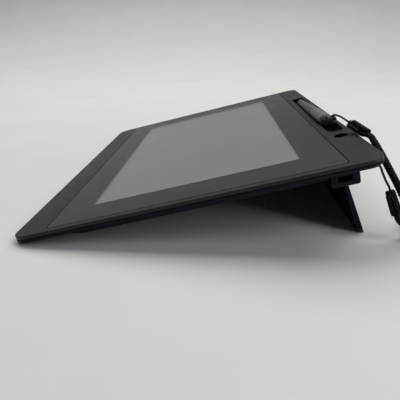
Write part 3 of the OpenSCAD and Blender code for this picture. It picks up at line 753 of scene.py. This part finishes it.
def bend_wire(y, z):
    """Turns the wire's open end a quarter round, from down to back or from back to up."""
    bpy.ops.mesh.spin(steps=8, angle=pi / 2, center=Vector((0, y, z)) * MM, axis=(1, 0, 0))


bpy.ops.object.select_all(action="DESELECT")
bpy.ops.mesh.primitive_circle_add(
    vertices=20, radius=STAPLE_R * MM, fill_type="NGON", location=(0, -STAPLE_HALF * MM, 0)
)
staple = bpy.context.object
staple.name = "tether_staple"
apply_all(staple)
edit(staple, "FACE", lambda face: True)
straight = STAPLE_DROP - STAPLE_BEND
pull(0, 0, -straight)
bend_wire(STAPLE_BEND - STAPLE_HALF, -straight)
pull(0, 2 * (STAPLE_HALF - STAPLE_BEND), 0)
bend_wire(STAPLE_HALF - STAPLE_BEND, -straight)
pull(0, 0, straight)
bpy.ops.mesh.select_all(action="SELECT")
bpy.ops.mesh.remove_doubles(threshold=0.002 * MM)
bpy.ops.mesh.normals_make_consistent(inside=False)
leave()
apply_all(staple, SLAB @ Matrix.Translation(STAPLE_AT) @ IN_MM)
shade(staple)
settle(staple, "tablet", "steel", "tether_anchor")

# The port's contacts: short strips on both sides of its tongue
PORT_Y = 186
PORT_Z = -9.65
CONTACT_X = 128.6
CONTACT_PITCH = 0.5
CONTACTS = 7
CONTACT_SIZE = (1.5, 0.26, 0.05)
CONTACT_OUT = 0.325
CONTACT_EDGE = 0.02

first_contact = block("contact", CONTACT_SIZE, (0, 0, 0))
bevel(first_contact, lambda edge: lies_along(edge, 1), CONTACT_EDGE, 2)
contacts = [
    copied(first_contact, SLAB @ Matrix.Translation((CONTACT_X, y, PORT_Z + side * CONTACT_OUT)) @ IN_MM)
    for y in [PORT_Y + (i - CONTACTS // 2) * CONTACT_PITCH for i in range(CONTACTS)]
    for side in (-1, 1)
]
bpy.data.objects.remove(first_contact)
port_contacts = join("port_contacts", contacts)
shade(port_contacts)
settle(port_contacts, "tablet", "copper")


# Finishes: placing nodes
def give(tree, socket, value):
    """Sets an input, or links it where the value comes from another node."""
    if isinstance(value, bpy.types.NodeSocket):
        tree.links.new(value, socket)
    else:
        socket.default_value = value


def put(tree, kind, values, **settings):
    """Adds a node with its settings and the values of its inputs."""
    node = tree.nodes.new("ShaderNode" + kind)
    for name, value in settings.items():
        setattr(node, name, value)
    for name, value in values.items():
        give(tree, node.inputs[name], value)
    return node


def calc(tree, operation, first, second=0.0, third=0.0):
    return put(tree, "Math", {0: first, 1: second, 2: third}, operation=operation).outputs[0]


def ranged(tree, value, low, high, to_low=0.0, to_high=1.0):
    """A value carried from one range to another, and kept inside it."""
    values = {"Value": value, "From Min": low, "From Max": high, "To Min": to_low, "To Max": to_high}
    return put(tree, "MapRange", values).outputs["Result"]


def mixed(tree, share, first, second):
    return put(tree, "Mix", {0: share, 6: first, 7: second}, data_type="RGBA").outputs[2]


def noise(tree, place, scale, detail=2.0, rough=0.5):
    values = {"Vector": place, "Scale": scale, "Detail": detail, "Roughness": rough}
    return put(tree, "TexNoise", values).outputs[0]


def in_millimetres(tree):
    """Places on a piece, in millimetres."""
    place = put(tree, "TexCoord", {}).outputs["Object"]
    return put(tree, "Mapping", {"Vector": place, "Scale": (1 / MM, 1 / MM, 1 / MM)}).outputs[0]


def in_slab(tree):
    """Places on a piece in the slab's own frame, in millimetres."""
    values = {
        "Vector": put(tree, "TexCoord", {}).outputs["Object"],
        "Location": FROM_SLAB.translation,
        "Rotation": (-TILT, 0, 0),
        "Scale": (1 / MM, 1 / MM, 1 / MM),
    }
    return put(tree, "Mapping", values).outputs[0]


def split(tree, place):
    return put(tree, "SeparateXYZ", {0: place}).outputs


def attribute(tree, name):
    return put(tree, "Attribute", {}, attribute_name=name).outputs["Fac"]


def stripes(tree, value, period, share):
    """One over a share of each period and nought over the rest."""
    return calc(tree, "LESS_THAN", calc(tree, "FRACT", calc(tree, "DIVIDE", value, period)), share)


def new_group(name, takes, gives):
    """An empty group with its named inputs and outputs."""
    tree = bpy.data.node_groups.new(name, "ShaderNodeTree")
    for socket, value in takes.items():
        entry = tree.interface.new_socket(socket, in_out="INPUT", socket_type="NodeSocketFloat")
        entry.default_value = value
    for socket in gives:
        tree.interface.new_socket(socket, in_out="OUTPUT", socket_type="NodeSocketFloat")
    way_in = tree.nodes.new("NodeGroupInput").outputs
    way_out = tree.nodes.new("NodeGroupOutput").inputs
    return tree, way_in, way_out


def effect(tree, group, **values):
    """Places a group in a material with its own values."""
    node = tree.nodes.new("ShaderNodeGroup")
    node.node_tree = group
    for socket, value in values.items():
        give(tree, node.inputs[socket], value)
    return node.outputs


# Moulded grain: fine pits of a given size in millimetres, and slow changes of tone
grain_group, takes, gives = new_group("moulded_grain", {"Pit": 0.4}, ("Height", "Tone"))
place = in_millimetres(grain_group)
pit_scale = calc(grain_group, "DIVIDE", 1.0, takes["Pit"])
pits = noise(grain_group, place, pit_scale, 3.0, 0.55)
give(grain_group, gives["Height"], ranged(grain_group, pits, 0.3, 0.7))
slow = noise(grain_group, place, 0.035, 3.0, 0.6)
patch = noise(grain_group, place, 0.9, 2.0)
slow_part = calc(grain_group, "MULTIPLY", slow, 0.65)
tone = calc(grain_group, "MULTIPLY_ADD", patch, 0.35, slow_part)
give(grain_group, gives["Tone"], ranged(grain_group, tone, 0.35, 0.65))

# Handling: soft smudges left by fingers, and specks of dust on what faces up
handling_group, takes, gives = new_group("handling", {"Specks": 0.1}, ("Smudge", "Dust"))
place = in_millimetres(handling_group)
smear_values = {"Vector": place, "Scale": 0.06, "Detail": 4.0, "Distortion": 1.2}
smears = put(handling_group, "TexNoise", smear_values).outputs[0]
give(handling_group, gives["Smudge"], ranged(handling_group, smears, 0.48, 0.72))
cells = put(handling_group, "TexVoronoi", {"Vector": place, "Scale": 0.55, "Randomness": 1.0})
size = put(handling_group, "SeparateColor", {0: cells.outputs["Color"]}).outputs
chosen = calc(handling_group, "LESS_THAN", size[0], takes["Specks"])
reach = ranged(handling_group, size[1], 0.0, 1.0, 0.02, 0.075)
near = calc(handling_group, "LESS_THAN", cells.outputs["Distance"], reach)
speck = calc(handling_group, "MULTIPLY", near, chosen)
upward = split(handling_group, put(handling_group, "TexCoord", {}).outputs["Normal"])[2]
settled = ranged(handling_group, upward, 0.2, 0.7)
give(handling_group, gives["Dust"], calc(handling_group, "MULTIPLY", speck, settled))

# Edges, made smoother and painted lighter as a highlight: where the rounded normal leaves the face's own, broken
# up by noise
edge_group, takes, gives = new_group("edge_polish_and_highlight", {"Reach": 0.5}, ("Edge",))
rounded = put(
    edge_group, "Bevel", {"Radius": calc(edge_group, "MULTIPLY", takes["Reach"], MM)}, samples=6
).outputs[0]
flat = put(edge_group, "NewGeometry", {}).outputs["Normal"]
turned = put(edge_group, "VectorMath", {0: rounded, 1: flat}, operation="DOT_PRODUCT").outputs["Value"]
broken = ranged(edge_group, noise(edge_group, in_millimetres(edge_group), 0.35, 4.0), 0.35, 0.65, 0.35, 1.0)
give(edge_group, gives["Edge"], calc(edge_group, "MULTIPLY", ranged(edge_group, turned, 0.995, 0.9), broken))

# Yarn: fibres that wind round each strand, with stray paler hairs
yarn_group, takes, gives = new_group("yarn", {"Fibres": 9.0, "Lay": 1.6}, ("Fibre", "Hair", "Crown"))
along = attribute(yarn_group, "along")
around = attribute(yarn_group, "around")
# Crown: nearness to a strand's outer side, where the yarn finishes paint a highlight
from_crown = calc(yarn_group, "ABSOLUTE", calc(yarn_group, "SUBTRACT", around, 0.5))
give(yarn_group, gives["Crown"], ranged(yarn_group, from_crown, 0.2, 0.04))
winding = calc(
    yarn_group, "ADD",
    calc(yarn_group, "MULTIPLY", around, takes["Fibres"]),
    calc(yarn_group, "MULTIPLY", along, takes["Lay"]),
)
wave = calc(yarn_group, "SINE", calc(yarn_group, "MULTIPLY", winding, 2 * pi))
uneven = noise(yarn_group, in_millimetres(yarn_group), 3.0, 3.0)
give(yarn_group, gives["Fibre"], calc(yarn_group, "MULTIPLY_ADD", wave, 0.35, uneven))
hair = noise(yarn_group, in_millimetres(yarn_group), 7.0, 1.0)
give(yarn_group, gives["Hair"], ranged(yarn_group, hair, 0.64, 0.72))

# Drawn metal: fine streaks one way, and a slow cloudiness
drawn_group, takes, gives = new_group("drawn_metal", {"Streaks": 6.0}, ("Streak", "Cloud"))
place = in_millimetres(drawn_group)
stretched = put(drawn_group, "Mapping", {"Vector": place, "Scale": (0.03, 1.0, 1.0)}).outputs[0]
give(drawn_group, gives["Streak"], noise(drawn_group, stretched, takes["Streaks"], 4.0, 0.6))
give(drawn_group, gives["Cloud"], noise(drawn_group, place, 0.08, 4.0, 0.6))

# Conductors: parallel lines of a given pitch in millimetres, with a slight unevenness
lines_group, takes, gives = new_group("conductors", {"Pitch": 0.5, "Share": 0.55}, ("Line", "Uneven"))
place = in_millimetres(lines_group)
across = split(lines_group, place)[0]
give(lines_group, gives["Line"], stripes(lines_group, across, takes["Pitch"], takes["Share"]))
give(lines_group, gives["Uneven"], noise(lines_group, place, 0.4, 3.0))


def new_finish(name, **values):
    """A material with the values that are the same all over it."""
    material = bpy.data.materials.new(name)
    material.use_nodes = True
    tree = material.node_tree
    shader = tree.nodes["Principled BSDF"].inputs
    for socket, value in values.items():
        shader[socket.replace("_", " ")].default_value = value
    return material, tree, shader


def bumped(tree, shader, height, depth):
    """Relief of a given depth in millimetres."""
    give(tree, shader["Normal"], put(tree, "Bump", {"Height": height, "Distance": depth * MM}).outputs[0])


DUST = (0.32, 0.31, 0.29, 1)


def plastic(name, dark, pale, rough, pit, depth, painted_highlight=0.0, specks=0.1, edge_reach=0.5, **values):
    """Moulded plastic: grained, a little uneven in tone, polished on its edges and painted lighter there as a
    highlight, smudged and dusty.
    """
    material, tree, shader = new_finish(name, **values)
    grain = effect(tree, grain_group, Pit=pit)
    handled = effect(tree, handling_group, Specks=specks)
    edge = effect(tree, edge_group, Reach=edge_reach)["Edge"]
    colour = mixed(tree, grain["Tone"], (*dark, 1), (*pale, 1))
    # Painted highlight: the edges are mixed towards this paler colour
    edge_highlight_colour = [min(1.0, 2.4 * channel + 0.006) for channel in pale]
    colour = mixed(tree, calc(tree, "MULTIPLY", edge, painted_highlight), colour, (*edge_highlight_colour, 1))
    colour = mixed(tree, calc(tree, "MULTIPLY", handled["Dust"], 0.5), colour, DUST)
    give(tree, shader["Base Color"], colour)
    smooth = calc(tree, "MULTIPLY_ADD", handled["Smudge"], -0.05, rough)
    smooth = calc(tree, "MULTIPLY_ADD", edge, -0.12, smooth)
    give(tree, shader["Roughness"], calc(tree, "MULTIPLY_ADD", grain["Height"], 0.06, smooth))
    bumped(tree, shader, grain["Height"], depth)
    return material


finishes = {}
# Its reflections are tinted a little blue-green, a painted tint of the room's light
finishes["frame_plastic"] = plastic(
    "frame_plastic", (0.0118, 0.0129, 0.0132), (0.016, 0.0174, 0.0178), 0.38, 0.42, 0.012, 0.5, 0.1,
    Specular_IOR_Level=0.24, Specular_Tint=(0.93, 0.99, 1, 1),
)
# The case's blue tint and the blue tint of its reflections are painted in for the bluish light on its shaded sides
finishes["case_plastic"] = plastic(
    "case_plastic", (0.0027, 0.0034, 0.0056), (0.0042, 0.0052, 0.0083), 0.52, 0.6, 0.016, 0.5, 0.06,
    Specular_IOR_Level=0.18, Specular_Tint=(0.7, 0.82, 1, 1),
)
finishes["clip"] = plastic(
    "clip_plastic", (0.0014, 0.0014, 0.0017), (0.0024, 0.0024, 0.0028), 0.34, 0.3, 0.004, 0.2, 0.03, 0.3,
    Specular_IOR_Level=0.18,
)
finishes["pen_grip"] = plastic(
    "pen_grip_rubber", (0.062, 0.062, 0.064), (0.078, 0.078, 0.08), 0.62, 0.22, 0.008, 0.2, 0.12, 0.3,
    Sheen_Weight=0.08, Sheen_Roughness=0.4,
)
finishes["pen_barrel"] = plastic(
    "pen_barrel_plastic", (0.115, 0.116, 0.122), (0.14, 0.141, 0.148), 0.45, 0.3, 0.006, 0.3, 0.1, 0.3,
)
finishes["pen_trim"] = plastic(
    "pen_trim_plastic", (0.006, 0.006, 0.0065), (0.01, 0.01, 0.0105), 0.38, 0.25, 0.004, 0.3, 0.05, 0.2,
)
finishes["rubber"] = plastic(
    "foot_rubber", (0.008, 0.008, 0.0085), (0.014, 0.014, 0.0145), 0.78, 0.35, 0.02, 0.3, 0.2, 0.4,
)
finishes["tape"] = plastic(
    "foam_tape", (0.008, 0.008, 0.008), (0.014, 0.014, 0.014), 0.85, 0.18, 0.02, 0.0, 0.0, 0.2,
)
# Near black for the inside of the trough, and painted shade for the seam round the glass
black_trough_and_seam_shade = plastic(
    "black_trough_and_seam_shade", (0.0012, 0.0012, 0.0015), (0.0022, 0.0022, 0.0026), 0.65, 0.35, 0.012, 0.3, 0.12, 0.3,
    Specular_IOR_Level=0.05,
)

# Cover glass: etched, with a printed border round the window
WINDOW_HALF_X = 111.35
WINDOW_MID_Y = 104.45
WINDOW_HALF_Y = 62.65
BORDER_INK = (0.0185, 0.0204, 0.0208, 1)
WINDOW_HAZE = (0.26, 0.275, 0.268, 1)
WINDOW_COVER = 0.55

# Its reflections take a faint cyan tint, painted in for the room's light
glass, tree, shader = new_finish("etched_glass", Specular_IOR_Level=0.5, Specular_Tint=(0.96, 1, 1, 1))
slab_x, slab_y, slab_z = split(tree, in_slab(tree))
beside = calc(tree, "SUBTRACT", calc(tree, "ABSOLUTE", slab_x), WINDOW_HALF_X)
from_middle = calc(tree, "ABSOLUTE", calc(tree, "SUBTRACT", slab_y, WINDOW_MID_Y))
beyond = calc(tree, "SUBTRACT", from_middle, WINDOW_HALF_Y)
window = ranged(tree, calc(tree, "MAXIMUM", beside, beyond), 0.1, -0.1)
grain = effect(tree, grain_group, Pit=0.06)
handled = effect(tree, handling_group, Specks=0.05)
colour = mixed(tree, window, BORDER_INK, WINDOW_HAZE)
colour = mixed(tree, calc(tree, "MULTIPLY", handled["Dust"], 0.5), colour, DUST)
give(tree, shader["Base Color"], colour)
rough = calc(tree, "MULTIPLY_ADD", handled["Smudge"], -0.05, 0.34)
give(tree, shader["Roughness"], calc(tree, "MULTIPLY_ADD", grain["Tone"], 0.04, rough))
give(tree, shader["Alpha"], ranged(tree, window, 0.0, 1.0, 1.0, WINDOW_COVER))
bumped(tree, shader, grain["Height"], 0.0006)
finishes["cover_glass"] = glass

# Panel: stripes of red, green and blue behind a polariser, faintly lit
PIXEL = 0.116
panel, tree, shader = new_finish("panel_pixels", Roughness=0.35, Emission_Strength=0.32)
slab_x, slab_y, slab_z = split(tree, in_slab(tree))
column = calc(tree, "FRACT", calc(tree, "DIVIDE", slab_x, PIXEL))
reds = calc(tree, "LESS_THAN", column, 0.33)
blues = calc(tree, "GREATER_THAN", column, 0.66)
colour = mixed(tree, reds, (0.47, 0.53, 0.5, 1), (0.53, 0.5, 0.49, 1))
colour = mixed(tree, blues, colour, (0.48, 0.5, 0.54, 1))
gap = stripes(tree, slab_y, PIXEL, 0.12)
colour = mixed(tree, gap, colour, (0.36, 0.38, 0.37, 1))
cloudy = noise(tree, in_millimetres(tree), 0.012, 2.0)
lit = mixed(tree, ranged(tree, cloudy, 0.3, 0.7), colour, (0.54, 0.56, 0.55, 1))
give(tree, shader["Base Color"], mixed(tree, 0.5, lit, (0.05, 0.055, 0.052, 1)))
give(tree, shader["Emission Color"], lit)
finishes["panel"] = panel

# Light guide: clear plate with rows of scattering dots
guide, tree, shader = new_finish("light_guide_acrylic", Roughness=0.25, Coat_Weight=0.3)
dots = put(tree, "TexVoronoi", {"Vector": in_millimetres(tree), "Scale": 0.8, "Randomness": 0.15})
dot = ranged(tree, dots.outputs["Distance"], 0.32, 0.26)
give(tree, shader["Base Color"], mixed(tree, dot, (0.62, 0.66, 0.68, 1), (0.86, 0.87, 0.86, 1)))
bumped(tree, shader, dot, 0.02)
finishes["light_guide"] = guide


def metal(name, dark, pale, rough, streaks, depth, **values):
    """Drawn or rolled metal with streaks, clouds and smudges."""
    material, tree, shader = new_finish(name, Metallic=1.0, **values)
    drawn = effect(tree, drawn_group, Streaks=streaks)
    handled = effect(tree, handling_group, Specks=0.03)
    cloud = ranged(tree, drawn["Cloud"], 0.3, 0.7)
    give(tree, shader["Base Color"], mixed(tree, cloud, (*dark, 1), (*pale, 1)))
    smooth = calc(tree, "MULTIPLY_ADD", drawn["Streak"], 0.18, rough)
    give(tree, shader["Roughness"], calc(tree, "MULTIPLY_ADD", handled["Smudge"], 0.08, smooth))
    bumped(tree, shader, drawn["Streak"], depth)
    return material


finishes["chassis"] = metal("cast_chassis", (0.34, 0.35, 0.36), (0.46, 0.47, 0.48), 0.38, 2.0, 0.01)
finishes["shield"] = metal("tinned_sheet", (0.52, 0.52, 0.5), (0.68, 0.68, 0.66), 0.22, 4.0, 0.003)
finishes["steel"] = metal("turned_steel", (0.45, 0.45, 0.46), (0.6, 0.6, 0.61), 0.24, 9.0, 0.004)
blackened_steel = metal("blackened_steel", (0.03, 0.03, 0.033), (0.05, 0.05, 0.053), 0.34, 9.0, 0.003)
socket_steel = metal("socket_steel", (0.005, 0.005, 0.0055), (0.008, 0.008, 0.0085), 0.45, 9.0, 0.003)
contact_gold = metal("gilt_contact", (0.14, 0.09, 0.03), (0.2, 0.14, 0.06), 0.38, 12.0, 0.001)

# Boards: traces in patches under green lacquer, with tinned pads
BOARD_CELL = 5.5
TRACE_PITCH = 0.6
board, tree, shader = new_finish("board_lacquer", Coat_Roughness=0.15)
place = in_millimetres(tree)
cells = put(tree, "TexVoronoi", {"Vector": place, "Scale": 1 / BOARD_CELL}, distance="CHEBYCHEV")
pick = put(tree, "SeparateColor", {0: cells.outputs["Color"]}).outputs[0]
across, deep, high = split(tree, place)
traces = [
    calc(tree, "MULTIPLY", stripes(tree, way, TRACE_PITCH, 0.45), calc(tree, test, pick, limit))
    for way, test, limit in ((across, "LESS_THAN", 0.4), (deep, "GREATER_THAN", 0.6))
]
trace = calc(tree, "MAXIMUM", *traces)
points = put(tree, "TexVoronoi", {"Vector": place, "Scale": 0.45, "Randomness": 0.6}).outputs["Distance"]
pad = ranged(tree, points, 0.14, 0.12)
lacquer = mixed(tree, trace, (0.006, 0.05, 0.024, 1), (0.014, 0.1, 0.045, 1))
give(tree, shader["Base Color"], mixed(tree, pad, lacquer, (0.6, 0.59, 0.56, 1)))
give(tree, shader["Metallic"], pad)
give(tree, shader["Roughness"], ranged(tree, pad, 0.0, 1.0, 0.4, 0.28))
give(tree, shader["Coat Weight"], ranged(tree, pad, 0.0, 1.0, 0.5, 0.0))
bumped(tree, shader, calc(tree, "MAXIMUM", trace, pad), 0.03)
finishes["board"] = board


def strip(name, film, conductor, pitch, share, rough):
    """A flat ribbon: conductors seen through its film."""
    material, tree, shader = new_finish(name, Coat_Roughness=0.2)
    lines = effect(tree, lines_group, Pitch=pitch, Share=share)
    give(tree, shader["Base Color"], mixed(tree, lines["Line"], (*film, 1), (*conductor, 1)))
    give(tree, shader["Roughness"], ranged(tree, lines["Uneven"], 0.3, 0.7, rough, rough + 0.15))
    give(tree, shader["Coat Weight"], ranged(tree, lines["Uneven"], 0.3, 0.7, 0.2, 0.4))
    bumped(tree, shader, lines["Line"], 0.02)
    return material


finishes["flex"] = strip("amber_flex", (0.33, 0.12, 0.02), (0.46, 0.2, 0.05), 0.4, 0.55, 0.3)
finishes["ribbon"] = strip("white_ribbon", (0.68, 0.68, 0.66), (0.46, 0.44, 0.4), 0.5, 0.5, 0.35)

# Coil: enamelled wire in close turns along the pen
WIRE_PITCH = 0.14
coil, tree, shader = new_finish("coil_wire", Metallic=1.0, Coat_Roughness=0.1)
across = split(tree, in_millimetres(tree))[0]
turn = calc(tree, "FRACT", calc(tree, "DIVIDE", across, WIRE_PITCH))
crown = calc(tree, "SINE", calc(tree, "MULTIPLY", turn, pi))
# Painted shade: the wire is dark between its turns and copper on its crowns
give(tree, shader["Base Color"], mixed(tree, crown, (0.2, 0.06, 0.02, 1), (0.75, 0.33, 0.16, 1)))
give(tree, shader["Roughness"], ranged(tree, crown, 0.0, 1.0, 0.5, 0.25))
give(tree, shader["Coat Weight"], crown)
bumped(tree, shader, crown, 0.05)
finishes["copper"] = coil


def yarn(name, dark, pale, fibres, lay, depth, **values):
    """Twisted nylon yarn with fibres and stray hairs, its strands painted pale on their crowns as a highlight and
    dark between them as shade.
    """
    material, tree, shader = new_finish(name, **values)
    fibre = effect(tree, yarn_group, Fibres=fibres, Lay=lay)
    # The crown's nearness, cubed, sets a painted highlight on each strand's crown; the rest stays dark as painted
    # shade between strands
    painted_highlight = calc(tree, "POWER", fibre["Crown"], 3.0)
    crown_highlight = calc(tree, "MULTIPLY", painted_highlight, ranged(tree, fibre["Fibre"], 0.1, 0.9, 0.4, 1.0))
    colour = mixed(tree, crown_highlight, (*dark, 1), (*pale, 1))
    hair = calc(tree, "MULTIPLY", fibre["Hair"], 0.4)
    give(tree, shader["Base Color"], mixed(tree, hair, colour, (0.05, 0.05, 0.054, 1)))
    give(tree, shader["Roughness"], ranged(tree, fibre["Fibre"], 0.1, 0.9, 0.52, 0.34))
    bumped(tree, shader, fibre["Fibre"], depth)
    return material


finishes["braid"] = yarn(
    "braid_yarn", (0.0004, 0.0004, 0.0006), (0.03, 0.03, 0.032), 10.0, 1.1, 0.03,
    Specular_IOR_Level=0.06,
)
# The knot's cord: the thin cord's finish with far paler crowns, as painted highlights
knot_cord_painted_highlights = yarn(
    "knot_cord_painted_highlights", (0.0004, 0.0004, 0.0005), (0.16, 0.16, 0.168), 8.0, 1.4, 0.02, Specular_IOR_Level=0.4
)
finishes["thin_cord"] = yarn(
    "cord_yarn", (0.0008, 0.0008, 0.001), (0.022, 0.022, 0.024), 8.0, 1.4, 0.02,
    Specular_IOR_Level=0.4,
)

# Each node and piece takes the finish of its slot
for node, thing in nodes.items():
    for holder in thing.material_slots:
        holder.material = finishes[slot_of[node]]


def dress(piece, *coats):
    piece.data.materials.clear()
    for coat in coats:
        piece.data.materials.append(coat)


def second_coat(piece, where):
    """The faces whose middles lie where the test says take the piece's second finish."""
    edit(piece, "FACE", lambda face: where(FROM_SLAB @ face.calc_center_median()))
    piece.active_material_index = 1
    bpy.ops.object.material_slot_assign()
    leave()


TROUGH_TOP = -0.35
TROUGH_Y = 198.4
TROUGH_HALF = 5.3
SEAM_TOP = -0.01
SEAM_OUT = 0.4
GLASS_BOTTOM = -1.05
LUG_X = 42.05


def in_trough(p):
    return in_band(p) and abs(p.y - TROUGH_Y) < TROUGH_HALF and p.z < TROUGH_TOP


# The walls round the glass, which take the seam's painted shade
def by_glass(p):
    return (
        p.z < SEAM_TOP
        and abs(p.x) < GLASS_X + SEAM_OUT
        and GLASS_Y[0] - SEAM_OUT < p.y < GLASS_Y[1] + SEAM_OUT
    )


for name, slot in worn_slot.items():
    dress(bpy.data.objects[name], finishes[slot])

dress(bpy.data.objects["usb_socket_eased"], socket_steel)
dress(eyelet_knot, knot_cord_painted_highlights)
dress(case_screws, blackened_steel)
dress(staple, blackened_steel)
dress(port_contacts, contact_gold)

# The trough's inside is near black; the walls round the glass and the glass's own edges are painted black as the
# shade in the seam between them; the pen's eyelet on its grey end is black too
trough_frame = bpy.data.objects["front_frame_eased"]
dress(trough_frame, finishes["frame_plastic"], black_trough_and_seam_shade)
second_coat(trough_frame, lambda p: in_trough(p) or by_glass(p))
inked_glass = bpy.data.objects["cover_glass_eased"]
dress(inked_glass, glass, black_trough_and_seam_shade)
second_coat(inked_glass, lambda p: GLASS_BOTTOM < p.z < SEAM_TOP)
tail_cap = bpy.data.objects["pen_tail_cap_eased"]
dress(tail_cap, finishes["pen_barrel"], finishes["pen_trim"])
second_coat(tail_cap, lambda p: p.x > LUG_X)


# Stage: a pale floor that sweeps up into a backdrop
FLOOR_HALF = 3
WALL_X = -2.47
WALL_H = 2.4
SWEEP_R = 1.8

bpy.ops.mesh.primitive_plane_add(size=2 * FLOOR_HALF)
floor = bpy.context.object
floor.name = "studio_floor"
edit(floor, "EDGE", lambda edge: all(corner.co.x < 0 for corner in edge.verts))
bpy.ops.transform.translate(value=(WALL_X + FLOOR_HALF, 0, 0))
bpy.ops.mesh.extrude_region_move(TRANSFORM_OT_translate={"value": (0, 0, WALL_H)})
leave()
edit(floor, "EDGE", lambda edge: is_sharp(edge))
bpy.ops.mesh.bevel(offset=SWEEP_R, segments=32, affect="EDGES")
leave()
take(floor)
bpy.ops.object.shade_smooth()

paper, tree, shader = new_finish("studio_paper", Roughness=0.8, Specular_IOR_Level=0.2)
mottle = ranged(tree, noise(tree, in_millimetres(tree), 0.01, 3.0), 0.3, 0.7)
give(tree, shader["Base Color"], mixed(tree, mottle, (0.7, 0.705, 0.685, 1), (0.73, 0.735, 0.715, 1)))
dress(floor, paper)


# Light: one wide soft source overhead and a weak one from the camera's side
def soft_light(at, turn, width, depth, energy, tint):
    bpy.ops.object.light_add(type="AREA", location=at, rotation=[radians(angle) for angle in turn])
    bpy.context.object.visible_camera = False
    light = bpy.context.object.data
    light.shape = "RECTANGLE"
    light.size = width
    light.size_y = depth
    light.energy = energy
    light.color = tint


soft_light(
    at=(-0.65, -0.05, 1.35), turn=(0, -22, 0), width=1.3, depth=2.6, energy=28.2, tint=(1, 0.99, 0.965)
)
soft_light(at=(0.46, 0.7, 0.43), turn=(0, 60, 62), width=0.9, depth=0.3, energy=3.3, tint=(0.94, 0.97, 1))

world = bpy.data.worlds.new("soft_room")
bpy.context.scene.world = world
world.use_nodes = True
background = world.node_tree.nodes["Background"].inputs
background["Color"].default_value = (0.8, 0.92, 1, 1)
background["Strength"].default_value = 0.085
bpy.context.scene.view_settings.view_transform = "Standard"
